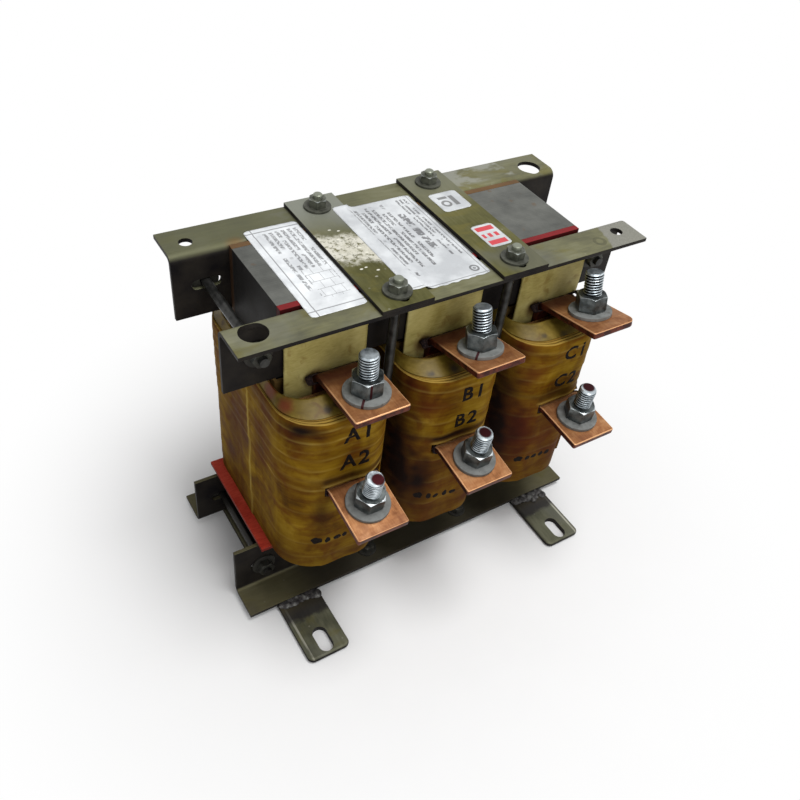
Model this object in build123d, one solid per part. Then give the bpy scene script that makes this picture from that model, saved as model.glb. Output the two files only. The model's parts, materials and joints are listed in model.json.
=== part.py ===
"""Three-phase line reactor: laminated core, clamp angles, three foil coils and copper terminals."""
import math
import os

from build123d import *

os.makedirs("parts", exist_ok=True)

# Core. X runs along the row of coils, the terminals face -Y, the feet stand on z = 0.
leg_width = 50.8
window_width = 38.1
yoke_height = 50.8
stack_depth = 63.5
leg_height = 149.2
gap_height = 3.2

# Clamp frame. Offsets in Y are measured from the outer face of an angle's leg, insets from its end.
sheet = 3.0
foot_thickness = 4.76
board_thickness = 4.76
angle_leg = 48.0
flange_reach = 25.59
bend_inner = 3.0
rod_to_core = 15.7
rod_to_angle_end = 22.4
strap_width = 36.5
strap_overhang = 0.4
strap_slot_inward = 7.0
strap_slot_outward = 10.5
lift_hole_radius = 8.75
lift_hole_inset = 16.4
lift_hole_offset = 8.8
small_hole_radius = 4.35
small_hole_inset = 15.1
small_hole_offset = 10.29
foot_inset = 39.4
foot_width = 34.0
foot_reach = 53.8
foot_corner = 5.0
foot_rolled_edge = 2.2
foot_slot_inset = 12.9
foot_slot_width = 11.1
foot_slot_length = 21.4

# Coil-support sheet
support_overhang = 20.2
support_margin = 16.25
window_clearance = 0.3

# Quarter-inch rods and their hardware
rod_radius = 3.175
rod_hole_radius = 3.55
thread_fit = 0.05
rod_tip_chamfer = 0.6
small_nut_flats = 11.1
small_nut_height = 5.56
small_head_height = 4.14
small_washer_height = 1.65
wide_washer_radius = 9.3
small_washer_radius = 7.95
rod_tail = 3.0
tie_offset = 11.99
clamp_slot_length = 20.0
clamp_rod_offset = 24.0

# Coils, from the core leg outwards. A headroom is the free height below the upper yoke.
former_clearance = 0.5
former_wall = 2.0
former_headroom = 5.7
inner_winding_build = 4.3
inner_winding_headroom = 12.2
inner_corner = 5.5
outer_winding_build = 3.6
winding_corner = 25.0
coil_headroom = 8.4
rear_inner_duct = 5.75
rear_outer_duct = 16.3
front_duct = 17.84
wrap_build = 1.8
wrap_over_lead = 1.74
wrap_corner = 29.0
collar_inset = 4.2
collar_front_inset = 14.5
collar_rear_inset = 11.2
collar_corner = 19.0
collar_wall = 1.0
collar_seat = 1.2
collar_rise = 5.0

# Barrier panels
panel_clearance = 1.49
panel_thickness = 2.0
panel_shoulder = 1.1
panel_neck_clearance = 0.5
panel_depth_in_coil = 60.0
panel_head_gap = 0.56

# Copper terminals: x offset from the coil centre, tilt above level, flat length, bolt distance
bar_width = 38.1
bar_thickness = 4.76
bar_bend_inner = 5.0
bar_corner = 1.5
worn_corner = 6.0
upper_terminals = {
    "a": (12.3, 2.0, 45.9, 25.1),
    "b": (8.3, 11.8, 49.9, 26.8),
    "c": (14.0, 12.0, 52.4, 26.9),
}
lower_terminals = {
    "a": (6.5, -10.0, 38.2, 15.3),
    "b": (3.0, -8.0, 37.0, 15.5),
    "c": (8.0, -4.0, 38.0, 16.2),
}
upper_bend_rise = 3.24
lower_bend_height = 74.44
upper_lead_start = 5.24
lower_lead_start = 19.24
lead_side_cover = 1.75
bump_rise = 0.7
bump_below_bend = 5.2
bump_above_bend = 18.8
bump_corner = 3.0
bump_bite = 0.6
sleeve_wall = 1.0
sleeve_side = 3.5
sleeve_start_angle = 42.0
sleeve_slit_angle = 3.0
sleeve_straight = 4.0
slit_clearance = 0.4

# Half-inch terminal hardware
stud_radius = 6.35
stud_pitch_radius = 5.72
stud_hole_radius = 7.15
stud_above_bar = 30.5
stud_tip_chamfer = 1.0
thread_run_out = 0.3
stud_head_height = 4.8
nut_flats = 19.05
nut_height = 11.1
cone_washer_radius = 15.1
cone_washer_hole = 6.75
cone_washer_thickness = 2.5
cone_washer_height = 3.3

# Cooling-duct sticks
stick_width = 6.0
inner_stick_spacing = 16.0
outer_stick_spacing = 7.0

# Levels that follow from the sizes above
core_bottom = foot_thickness
lower_yoke_top = core_bottom + yoke_height
leg_bottom = lower_yoke_top + gap_height
leg_top = leg_bottom + leg_height
upper_yoke_bottom = leg_top + gap_height
core_top = upper_yoke_bottom + yoke_height
strap_top = core_top + sheet
former_top = upper_yoke_bottom - former_headroom
inner_winding_top = upper_yoke_bottom - inner_winding_headroom
coil_top = upper_yoke_bottom - coil_headroom
collar_foot = coil_top - collar_seat
collar_top = coil_top + collar_rise
upper_bend_z = coil_top + upper_bend_rise
lower_bend_z = leg_bottom + lower_bend_height
upper_lead_foot = leg_bottom + upper_lead_start
lower_lead_foot = leg_bottom + lower_lead_start
bump_shoulder = lower_bend_z - bump_below_bend
bump_crown = lower_bend_z + bump_above_bend

# Places along the row of coils
coil_pitch = leg_width + window_width
coil_centres = {"a": -coil_pitch, "b": 0.0, "c": coil_pitch}
core_length = 3 * leg_width + 2 * window_width
half_core = core_length / 2
tie_x = coil_pitch / 2
clamp_rod_x = half_core + rod_to_core
angle_end = clamp_rod_x + rod_to_angle_end
lift_hole_x = angle_end - lift_hole_inset
small_hole_x = angle_end - small_hole_inset
foot_x = angle_end - foot_inset
former_half_width = leg_width / 2 + former_clearance
inner_winding_inner = former_half_width + former_wall
outer_winding_inner = inner_winding_inner + inner_winding_build
wrap_inner = outer_winding_inner + outer_winding_build
wrap_outer = wrap_inner + wrap_build
collar_half_width = wrap_inner - collar_inset
panel_half_width = inner_winding_inner + panel_shoulder
panel_neck_half_width = inner_winding_inner - panel_neck_clearance

# Distances from the middle of the core stack, to the front (-Y) or the rear (+Y)
stack_face = stack_depth / 2
leg_inner_face = stack_face + board_thickness
leg_outer_face = leg_inner_face + sheet
flange_edge = leg_outer_face + flange_reach
tie_y = leg_outer_face + tie_offset
lift_hole_y = leg_outer_face + lift_hole_offset
small_hole_y = leg_outer_face + small_hole_offset
strap_half_length = flange_edge + strap_overhang
strap_slot_inner = tie_y - strap_slot_inward
strap_slot_outer = tie_y + strap_slot_outward
foot_front = flange_edge + foot_reach
foot_slot_y = foot_front - foot_slot_inset
former_half_depth = stack_face + former_clearance
former_face = former_half_depth + former_wall
panel_back = leg_outer_face + panel_clearance
panel_front = panel_back + panel_thickness
inner_winding_front = panel_front + bar_thickness
inner_winding_rear = former_face + rear_inner_duct
outer_winding_front = inner_winding_front + inner_winding_build + front_duct + outer_winding_build
outer_winding_rear = inner_winding_rear + inner_winding_build + rear_outer_duct + outer_winding_build
wrap_front = outer_winding_front + bar_thickness + wrap_over_lead
wrap_rear = outer_winding_rear + wrap_build
bump_front = wrap_front + bump_rise
collar_front = outer_winding_front - collar_front_inset
collar_rear = outer_winding_rear - collar_rear_inset
bar_bend_outer = bar_bend_inner + bar_thickness
upper_bend_front = panel_front + bar_bend_outer
lower_bend_front = outer_winding_front + bar_bend_outer
sleeve_width = bar_width + 2 * sleeve_side

nodes = {}


def block(x0, x1, y0, y1, z0, z1):
    """Box between three pairs of limits."""
    return Pos((x0 + x1) / 2, (y0 + y1) / 2, (z0 + z1) / 2) * Box(abs(x1 - x0), abs(y1 - y0), abs(z1 - z0))


def round_bar(centre, direction, radius, length):
    """Cylinder that starts at a point and runs along a direction."""
    return Plane(origin=centre, z_dir=direction) * extrude(Circle(radius), length)


def ring(outer_radius, inner_radius, height):
    """Flat washer standing on the local XY plane."""
    return extrude(Circle(outer_radius) - Circle(inner_radius), height)


def hexagon(flats, height, bore=0.0):
    """Hexagonal nut or head with its corners turned off at both ends."""
    corner = flats / math.sqrt(3)
    fall = (corner - flats / 2) * math.tan(math.radians(30))
    half = flats / 2
    outline = [(0, 0), (half, 0), (corner, fall), (corner, height - fall), (half, height), (0, height)]
    turned = revolve(Plane.XZ * make_face(Polyline(*outline, close=True)), Axis.Z)
    solid = extrude(RegularPolygon(half, 6, major_radius=False), height) & turned
    if bore:
        solid -= extrude(Circle(bore), height)
    return solid


def slot(length, width, height):
    """Cutter for a round-ended slot along local X, centred on the local XY plane."""
    return extrude(SlotOverall(length, width), height / 2, both=True)


def coil_outline(centre, half_width, front, rear, corner):
    """Rounded rectangle around one core leg."""
    return Pos(centre, (rear - front) / 2) * RectangleRounded(2 * half_width, front + rear, corner)


def upright(profile, z0, z1):
    """Profile drawn on the XY plane, raised from one level to another."""
    return extrude(Pos(0, 0, z0) * profile, z1 - z0)


def tapered(low_profile, z0, high_profile, z1):
    """Straight-sided body between two outlines."""
    return loft([Pos(0, 0, z0) * low_profile, Pos(0, 0, z1) * high_profile], ruled=True)


def together(solids):
    """Separate solids that share one node."""
    return Compound([part.solid() for part in solids])


def side_arc(bend_front, bend_z, radius, start, end):
    """Arc in the side view, measured from the upright direction towards the front."""
    def at(angle):
        turn = math.radians(angle)
        return (bend_front - radius * math.cos(turn), bend_z + radius * math.sin(turn))
    return ThreePointArc(at(start), at((start + end) / 2), at(end)), at(start), at(end)


side_view = Plane(origin=(0, 0, 0), x_dir=(0, -1, 0), z_dir=(-1, 0, 0))


def bend_section(bend_front, bend_z, inner, outer, start, end, straight, tail):
    """Side view of a bent strip: optional upright tail, bend, then a straight flat."""
    outer_arc, outer_start, outer_end = side_arc(bend_front, bend_z, outer, start, end)
    inner_arc, inner_start, inner_end = side_arc(bend_front, bend_z, inner, start, end)
    turn = math.radians(end)
    run = (straight * math.sin(turn), straight * math.cos(turn))
    edges = [outer_arc, inner_arc]
    if straight:
        outer_tip = (outer_end[0] + run[0], outer_end[1] + run[1])
        inner_tip = (inner_end[0] + run[0], inner_end[1] + run[1])
        edges += [Line(outer_end, outer_tip), Line(outer_tip, inner_tip), Line(inner_tip, inner_end)]
    else:
        edges += [Line(outer_end, inner_end)]
    if tail:
        outer_foot = (outer_start[0], outer_start[1] - tail)
        inner_foot = (inner_start[0], inner_start[1] - tail)
        edges += [Line(outer_start, outer_foot), Line(outer_foot, inner_foot), Line(inner_foot, inner_start)]
    else:
        edges += [Line(outer_start, inner_start)]
    return make_face(Wire(edges))


def bent_strip(centre, width, section):
    """Bent strip of even width around an x position."""
    return Pos(centre, 0, 0) * extrude(side_view * section, width / 2, both=True)


def front_edges(bar):
    """Edges through a bar's thickness, the ones nearest its tip first."""
    through = bar.edges().filter_by(lambda edge: abs(edge.length - bar_thickness) < 0.01)
    return sorted(through, key=lambda edge: edge.center().Y)


def bolt_plane(centre, bend_front, bend_z, turn_angle, distance):
    """Plane on the upper face of a terminal flat, at its bolt."""
    turn = math.radians(turn_angle)
    front = bend_front - bar_bend_outer * math.cos(turn) + distance * math.sin(turn)
    height = bend_z + bar_bend_outer * math.sin(turn) + distance * math.cos(turn)
    normal = (0, math.cos(turn), math.sin(turn))
    return Plane(origin=(centre, -front, height), x_dir=(1, 0, 0), z_dir=normal)


# Core: yokes, legs and the non-magnetic gap spacers
nodes["core_lower_yoke"] = block(-half_core, half_core, -stack_face, stack_face, core_bottom, lower_yoke_top)
nodes["core_upper_yoke"] = block(-half_core, half_core, -stack_face, stack_face, upper_yoke_bottom, core_top)
spacers = []
for name, centre in coil_centres.items():
    sides = (centre - leg_width / 2, centre + leg_width / 2, -stack_face, stack_face)
    nodes[f"core_leg_{name}"] = block(*sides, leg_bottom, leg_top)
    spacers.append(block(*sides, lower_yoke_top, leg_bottom))
    spacers.append(block(*sides, leg_top, upper_yoke_bottom))
nodes["gap_spacers"] = together(spacers)

# Red boards between yokes and angles, and the sheet the coils stand on
for level, z0, z1 in (("lower", core_bottom, lower_yoke_top), ("upper", upper_yoke_bottom, core_top)):
    nodes[f"{level}_front_board"] = block(-half_core, half_core, -leg_inner_face, -stack_face, z0, z1)
    nodes[f"{level}_rear_board"] = block(-half_core, half_core, stack_face, leg_inner_face, z0, z1)
support = Rectangle(2 * (half_core + support_overhang), 2 * (stack_face + support_margin))
leg_hole = Rectangle(leg_width + 2 * window_clearance, stack_depth + 2 * window_clearance)
for centre in coil_centres.values():
    support -= Pos(centre, 0) * leg_hole
nodes["coil_support_sheet"] = upright(support, lower_yoke_top, leg_bottom)


# Clamp angles, bent from sheet, with rod slots in the legs and bolt holes in the flanges
def angle(side, top):
    """Bent angle on the front (side -1) or rear (side 1), flange at the top or the bottom."""
    outer_level = core_top if top else core_bottom
    inward = -1 if top else 1
    leg_middle = side * (leg_inner_face + sheet / 2)
    leg = Pos(leg_middle, outer_level + inward * angle_leg / 2) * Rectangle(sheet, angle_leg)
    flange_centre = side * (leg_inner_face + flange_edge) / 2
    flange_size = flange_edge - leg_inner_face
    flange = Pos(flange_centre, outer_level + inward * sheet / 2) * Rectangle(flange_size, sheet)
    section = leg + flange
    heel = (side * leg_inner_face, outer_level)
    crook = (side * leg_outer_face, outer_level + inward * sheet)
    corners = section.vertices()
    section = fillet(min(corners, key=lambda v: math.hypot(v.X - heel[0], v.Y - heel[1])), bend_inner + sheet)
    corners = section.vertices()
    section = fillet(min(corners, key=lambda v: math.hypot(v.X - crook[0], v.Y - crook[1])), bend_inner)
    body = extrude(Plane.YZ * section, angle_end, both=True)
    rod_level = outer_level + inward * clamp_rod_offset
    for x in (-clamp_rod_x, clamp_rod_x):
        seat = Plane(origin=(x, side * leg_outer_face, rod_level), x_dir=(1, 0, 0), z_dir=(0, -1, 0))
        body -= seat * slot(clamp_slot_length, 2 * rod_hole_radius, 4 * sheet)
    for x in (-tie_x, tie_x):
        body -= round_bar((x, side * tie_y, outer_level - 2 * sheet), (0, 0, 1), rod_hole_radius, 4 * sheet)
    if top:
        for x, y, radius in (
            (side * lift_hole_x, side * lift_hole_y, lift_hole_radius),
            (-side * small_hole_x, side * small_hole_y, small_hole_radius),
        ):
            body -= round_bar((x, y, outer_level - 2 * sheet), (0, 0, 1), radius, 4 * sheet)
    return body


nodes["top_front_angle"] = angle(-1, True)
nodes["top_rear_angle"] = angle(1, True)
nodes["bottom_front_angle"] = angle(-1, False)
nodes["bottom_rear_angle"] = angle(1, False)

# Top straps
for name, centre in (("left", -tie_x), ("right", tie_x)):
    outline = Pos(centre, 0) * Rectangle(strap_width, 2 * strap_half_length)
    slot_length = strap_slot_outer - strap_slot_inner
    for side in (-1, 1):
        middle = side * (strap_slot_inner + strap_slot_outer) / 2
        outline -= Pos(centre, middle) * Rot(0, 0, 90) * SlotOverall(slot_length, 2 * rod_hole_radius)
    nodes[f"{name}_strap"] = upright(outline, core_top, strap_top)

# Foot bars: square sheared inner edge, rolled outer edge, slotted front end
for name, side in (("left", -1), ("right", 1)):
    middle_y = (flange_edge - foot_front) / 2
    outline = Pos(side * foot_x, middle_y) * Rectangle(foot_width, flange_edge + foot_front)
    outline = fillet(outline.vertices().sort_by(Axis.Y)[:2], foot_corner)
    bar = upright(outline, 0, foot_thickness)
    long_edges = [e for e in bar.edges().filter_by(Axis.Y) if abs(e.center().X) > foot_x]
    bar = fillet(long_edges, foot_rolled_edge)
    cutter = Rot(0, 0, 90) * slot(foot_slot_length, foot_slot_width, 4 * foot_thickness)
    nodes[f"{name}_foot_bar"] = bar - Pos(side * foot_x, -foot_slot_y, 0) * cutter

# Tie bolts: low head under the bottom flange, nuts above both flanges
small_nut = hexagon(small_nut_flats, small_nut_height, rod_radius + thread_fit)
small_head = hexagon(small_nut_flats, small_head_height)
flange_top = core_bottom + sheet
tie_bolts = []
tie_nuts = []
tie_washers = []
for x in (-tie_x, tie_x):
    for y in (-tie_y, tie_y):
        end = strap_top + small_washer_height + small_nut_height + rod_tail
        shank = round_bar((x, y, core_bottom), (0, 0, 1), rod_radius, end - core_bottom)
        shank = chamfer(shank.edges().sort_by(Axis.Z)[-1], rod_tip_chamfer)
        tie_bolts.append(shank + Pos(x, y, core_bottom - small_head_height) * small_head)
        for seat, radius in ((strap_top, wide_washer_radius), (flange_top, small_washer_radius)):
            tie_washers.append(Pos(x, y, seat) * ring(radius, rod_hole_radius, small_washer_height))
            tie_nuts.append(Pos(x, y, seat + small_washer_height) * small_nut)
nodes["tie_bolts"] = together(tie_bolts)
nodes["tie_nuts"] = together(tie_nuts)
nodes["tie_washers"] = together(tie_washers)

# Clamp rods across the core, through the legs of the angles
clamp_rods = []
clamp_nuts = []
clamp_washers = []
rod_reach = leg_outer_face + small_washer_height + small_nut_height + rod_tail
for x in (-clamp_rod_x, clamp_rod_x):
    for z in (core_bottom + clamp_rod_offset, core_top - clamp_rod_offset):
        clamp_rods.append(round_bar((x, -rod_reach, z), (0, 1, 0), rod_radius, 2 * rod_reach))
        for side in (-1, 1):
            seat = Plane(origin=(x, side * leg_outer_face, z), x_dir=(1, 0, 0), z_dir=(0, side, 0))
            clamp_washers.append(seat * ring(wide_washer_radius, rod_hole_radius, small_washer_height))
            clamp_nuts.append(seat * Pos(0, 0, small_washer_height) * small_nut)
nodes["clamp_rods"] = together(clamp_rods)
nodes["clamp_nuts"] = together(clamp_nuts)
nodes["clamp_washers"] = together(clamp_washers)

# Coils
sticks = []
upper_sleeves = []
lower_sleeves = []
stud_seats = []
for name, centre in coil_centres.items():
    former_inner = coil_outline(
        centre, former_half_width, former_half_depth, former_half_depth, former_clearance,
    )
    former_outer = coil_outline(
        centre, former_half_width + former_wall, former_face, former_face, former_clearance + former_wall,
    )
    nodes[f"coil_{name}_former"] = upright(former_outer - former_inner, leg_bottom, former_top)

    # Inner winding around the former, the panel and the upper lead
    bore = coil_outline(centre, inner_winding_inner, inner_winding_front, inner_winding_rear, inner_corner)
    skin = coil_outline(
        centre, outer_winding_inner, inner_winding_front + inner_winding_build,
        inner_winding_rear + inner_winding_build, inner_corner + inner_winding_build,
    )
    nodes[f"coil_{name}_inner_winding"] = upright(skin - bore, leg_bottom, inner_winding_top)

    # Outer winding
    skin = coil_outline(centre, wrap_inner, outer_winding_front, outer_winding_rear, winding_corner)
    bore = coil_outline(
        centre, outer_winding_inner, outer_winding_front - outer_winding_build,
        outer_winding_rear - outer_winding_build, winding_corner - outer_winding_build,
    )
    nodes[f"coil_{name}_outer_winding"] = upright(skin - bore, leg_bottom, collar_foot)

    # Collar: seat on the outer winding, then a ledge that climbs inwards
    mouth = coil_outline(centre, collar_half_width, collar_front, collar_rear, collar_corner)
    mouth_outer = coil_outline(
        centre, collar_half_width + collar_wall, collar_front + collar_wall, collar_rear + collar_wall,
        collar_corner + collar_wall,
    )
    foot_inner = coil_outline(
        centre, wrap_inner - collar_seat, outer_winding_front - 2 * collar_seat,
        outer_winding_rear - 2 * collar_seat, winding_corner - collar_seat,
    )
    ledge = upright(skin, collar_foot, coil_top) + tapered(skin, coil_top, mouth_outer, collar_top)
    nodes[f"coil_{name}_collar"] = ledge - tapered(foot_inner, collar_foot, mouth, collar_top)

    # Outer wrap, swelling at the front where it covers the lower lead
    offset, tilt, flat, bolt = lower_terminals[name]
    turn_angle = 90 - tilt
    lead_centre = centre + offset
    outline = coil_outline(centre, wrap_outer, wrap_front, wrap_rear, wrap_corner)
    arc_x = wrap_outer - wrap_corner
    arc_y = wrap_front - wrap_corner
    lead_half = bar_width / 2 + lead_side_cover
    low_points = [(lead_centre - lead_half, -bump_front), (lead_centre + lead_half, -bump_front)]
    high_points = [(centre - arc_x, bump_bite - wrap_front), (centre + arc_x, bump_bite - wrap_front)]
    flank_radius = wrap_corner - bump_bite
    for side in (1, -1):
        corner_x = lead_centre + side * lead_half
        reach_x = side * (corner_x - centre) - arc_x
        reach_y = arc_y - bump_front
        bearing = math.atan2(reach_y, reach_x) + math.acos(flank_radius / math.hypot(reach_x, reach_y))
        touch = (
            centre + side * (arc_x + flank_radius * math.cos(bearing)),
            -arc_y + flank_radius * math.sin(bearing),
        )
        low_points.append(touch)
        high_points.append(touch)
    bump_low = make_face(Polyline(*low_points, close=True))
    bump_low = fillet(bump_low.vertices().sort_by(Axis.Y)[:2], bump_corner)
    bump_high = make_face(Polyline(*high_points, close=True))
    bump_high = fillet(bump_high.vertices().sort_by(Axis.Y)[:2], bump_corner)
    wrap = upright(outline, leg_bottom, coil_top) + upright(bump_low, leg_bottom, bump_shoulder)
    wrap += tapered(bump_low, bump_shoulder, bump_high, bump_crown)
    wrap -= upright(skin, leg_bottom, coil_top)

    # Lower terminal: its lead lies on the outer winding and leaves through a slit in the wrap
    section = bend_section(
        lower_bend_front, lower_bend_z, bar_bend_inner, bar_bend_outer, 0, turn_angle, flat,
        lower_bend_z - lower_lead_foot,
    )
    bar = bent_strip(lead_centre, bar_width, section)
    pocket_half = bar_width / 2 + slit_clearance
    pocket_front = outer_winding_front + bar_thickness + slit_clearance
    wrap -= block(
        lead_centre - pocket_half, lead_centre + pocket_half, -pocket_front, -stack_face,
        lower_lead_foot - slit_clearance, lower_bend_z,
    )
    pocket = bend_section(
        lower_bend_front, lower_bend_z, bar_bend_inner - slit_clearance, bar_bend_outer + slit_clearance,
        0, turn_angle, flat, 0,
    )
    wrap -= bent_strip(lead_centre, 2 * pocket_half, pocket)
    envelope = bend_section(
        lower_bend_front, lower_bend_z, bar_bend_inner - sleeve_wall - slit_clearance,
        bar_bend_outer + sleeve_wall + slit_clearance, sleeve_start_angle - sleeve_slit_angle,
        turn_angle, 0, 0,
    )
    wrap -= bent_strip(lead_centre, sleeve_width + 2 * slit_clearance, envelope)
    wrap = max(wrap.solids(), key=lambda piece: piece.volume)
    nodes[f"coil_{name}_outer_wrap"] = wrap
    seat = bolt_plane(lead_centre, lower_bend_front, lower_bend_z, turn_angle, bolt)
    bar -= seat * extrude(Circle(stud_hole_radius), 2 * bar_thickness, both=True)
    nodes[f"coil_{name}_lower_terminal"] = fillet(front_edges(bar)[:2], bar_corner)
    stud_seats.append(seat)
    sleeve = bent_strip(lead_centre, sleeve_width, bend_section(
        lower_bend_front, lower_bend_z, bar_bend_inner - sleeve_wall, bar_bend_outer + sleeve_wall,
        sleeve_start_angle, turn_angle, 0, 0,
    ))
    sleeve -= bent_strip(lead_centre, sleeve_width - 2 * sleeve_wall, section)
    lower_sleeves.append(sleeve)

    # Upper terminal: its lead runs down between the panel and the inner winding
    offset, tilt, flat, bolt = upper_terminals[name]
    turn_angle = 90 - tilt
    lead_centre = centre + offset
    section = bend_section(
        upper_bend_front, upper_bend_z, bar_bend_inner, bar_bend_outer, 0, turn_angle, flat,
        upper_bend_z - upper_lead_foot,
    )
    bar = bent_strip(lead_centre, bar_width, section)
    notch = centre + inner_winding_inner - inner_corner - window_clearance
    bar -= block(notch, notch + bar_width, -upper_bend_front, 0, 0, core_top)
    seat = bolt_plane(lead_centre, upper_bend_front, upper_bend_z, turn_angle, bolt)
    bar -= seat * extrude(Circle(stud_hole_radius), 2 * bar_thickness, both=True)
    left_tip = min(front_edges(bar)[:2], key=lambda e: e.center().X)
    bar = fillet([left_tip], bar_corner)
    right_tip = max(front_edges(bar)[:3], key=lambda e: e.center().X)
    nodes[f"coil_{name}_upper_terminal"] = fillet([right_tip], worn_corner if name == "c" else bar_corner)
    stud_seats.append(seat)
    sleeve = bent_strip(lead_centre, sleeve_width, bend_section(
        upper_bend_front, upper_bend_z, bar_bend_inner - sleeve_wall, bar_bend_outer + sleeve_wall,
        sleeve_start_angle, turn_angle, sleeve_straight, 0,
    ))
    sleeve -= bent_strip(lead_centre, sleeve_width - 2 * sleeve_wall, section)
    upper_sleeves.append(sleeve)

    # Barrier panel: wide head, neck between the sticks and the upper lead, shoulders on the inner winding
    head = block(
        centre - panel_half_width, centre + panel_half_width, -panel_front, -panel_back,
        inner_winding_top, core_top - sheet - panel_head_gap,
    )
    neck = block(
        centre - panel_neck_half_width, centre + panel_neck_half_width, -panel_front, -panel_back,
        inner_winding_top - panel_depth_in_coil, inner_winding_top,
    )
    nodes[f"coil_{name}_barrier_panel"] = head + neck

    # Sticks that hold the ducts open
    for x in (-inner_stick_spacing, 0.0, inner_stick_spacing):
        limits = (centre + x - stick_width / 2, centre + x + stick_width / 2)
        sticks.append(block(*limits, -panel_back, -former_face, leg_bottom, inner_winding_top))
        sticks.append(block(*limits, former_face, inner_winding_rear, leg_bottom, inner_winding_top))
    for x in (-outer_stick_spacing, outer_stick_spacing):
        limits = (centre + x - stick_width / 2, centre + x + stick_width / 2)
        inner_face = inner_winding_front + inner_winding_build
        outer_face = outer_winding_front - outer_winding_build
        sticks.append(block(*limits, -outer_face, -inner_face, leg_bottom, inner_winding_top))
        inner_face = inner_winding_rear + inner_winding_build
        outer_face = outer_winding_rear - outer_winding_build
        sticks.append(block(*limits, inner_face, outer_face, leg_bottom, inner_winding_top))
nodes["duct_sticks"] = together(sticks)
nodes["upper_lead_sleeves"] = together(upper_sleeves)
nodes["lower_lead_sleeves"] = together(lower_sleeves)

# Terminal hardware: bolt from below, conical washer and nut above, meeting at the thread's pitch radius
engaged_top = cone_washer_height + nut_height + thread_run_out
shank = upright(Circle(stud_radius), -bar_thickness, stud_above_bar)
shank = chamfer(shank.edges().sort_by(Axis.Z)[-1], stud_tip_chamfer)
shank -= upright(Circle(2 * stud_radius) - Circle(stud_pitch_radius), cone_washer_height, engaged_top)
head = Pos(0, 0, -bar_thickness - stud_head_height) * hexagon(nut_flats, stud_head_height)
bolt_blank = shank + head
cone = [
    (cone_washer_hole, cone_washer_height - cone_washer_thickness), (cone_washer_radius, 0),
    (cone_washer_radius, cone_washer_thickness), (cone_washer_hole, cone_washer_height),
]
cone_washer = revolve(Plane.XZ * make_face(Polyline(*cone, close=True)), Axis.Z)
terminal_nut = Pos(0, 0, cone_washer_height) * hexagon(nut_flats, nut_height, stud_pitch_radius + thread_fit)
nodes["terminal_bolts"] = together([seat * bolt_blank for seat in stud_seats])
nodes["terminal_washers"] = together([seat * cone_washer for seat in stud_seats])
nodes["terminal_nuts"] = together([seat * terminal_nut for seat in stud_seats])

# The row frame starts at the middle of the footprint's bounding box, on the floor
limits = [shape.bounding_box() for shape in nodes.values()]
middle = (min(b.min.Y for b in limits) + max(b.max.Y for b in limits)) / 2
shift = Pos(0, -round(middle, 2), 0)
print("rear shift in mm:", -round(middle, 2))
for name, shape in nodes.items():
    export_step(shift * shape, f"parts/{name}.step")
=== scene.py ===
"""Looks of the three-phase line reactor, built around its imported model."""

import json
import math
import random

import bmesh
import bpy
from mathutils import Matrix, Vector, noise
from mathutils.bvhtree import BVHTree

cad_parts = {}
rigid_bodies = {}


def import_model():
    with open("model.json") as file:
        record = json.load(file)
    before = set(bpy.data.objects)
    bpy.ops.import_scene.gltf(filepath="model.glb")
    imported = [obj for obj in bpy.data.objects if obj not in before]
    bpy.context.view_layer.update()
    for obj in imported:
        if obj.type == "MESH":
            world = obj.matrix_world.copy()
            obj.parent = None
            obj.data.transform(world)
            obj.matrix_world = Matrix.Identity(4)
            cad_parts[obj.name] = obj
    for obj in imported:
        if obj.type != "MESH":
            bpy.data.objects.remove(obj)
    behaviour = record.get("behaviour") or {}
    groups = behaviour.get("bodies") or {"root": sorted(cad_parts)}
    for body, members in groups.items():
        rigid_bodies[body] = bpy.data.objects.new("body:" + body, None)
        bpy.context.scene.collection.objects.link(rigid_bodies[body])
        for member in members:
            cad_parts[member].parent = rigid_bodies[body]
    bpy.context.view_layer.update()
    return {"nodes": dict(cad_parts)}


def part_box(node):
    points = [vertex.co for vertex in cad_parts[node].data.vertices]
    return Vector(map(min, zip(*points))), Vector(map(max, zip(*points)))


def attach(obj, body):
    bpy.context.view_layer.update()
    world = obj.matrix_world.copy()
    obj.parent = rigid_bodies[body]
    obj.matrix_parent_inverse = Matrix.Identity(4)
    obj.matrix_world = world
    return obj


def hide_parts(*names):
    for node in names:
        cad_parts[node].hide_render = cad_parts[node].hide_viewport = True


for left_over in list(bpy.data.objects):
    bpy.data.objects.remove(left_over)
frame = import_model()

MM = 0.001
COILS = ("a", "b", "c")
NODES = frame["nodes"]


# Node trees, for the finishes and for what repeats


def add_node(tree, kind, inputs=None, output=0, **settings):
    """Adds a node, joins or sets its inputs, and returns one of its outputs."""
    made = tree.nodes.new(kind)
    for key, value in settings.items():
        setattr(made, key, value)
    for key, value in (inputs or {}).items():
        if isinstance(value, Signal):
            tree.links.new(value.socket, made.inputs[key])
        else:
            made.inputs[key].default_value = value
    return Signal(tree, made.outputs[output])


def maths(operation, swapped=False):
    """An operator of Signal that adds a math node."""
    def act(self, other=0.0):
        first, second = (other, self) if swapped else (self, other)
        return add_node(self.tree, "ShaderNodeMath", {0: first, 1: second}, operation=operation)
    return act


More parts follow.
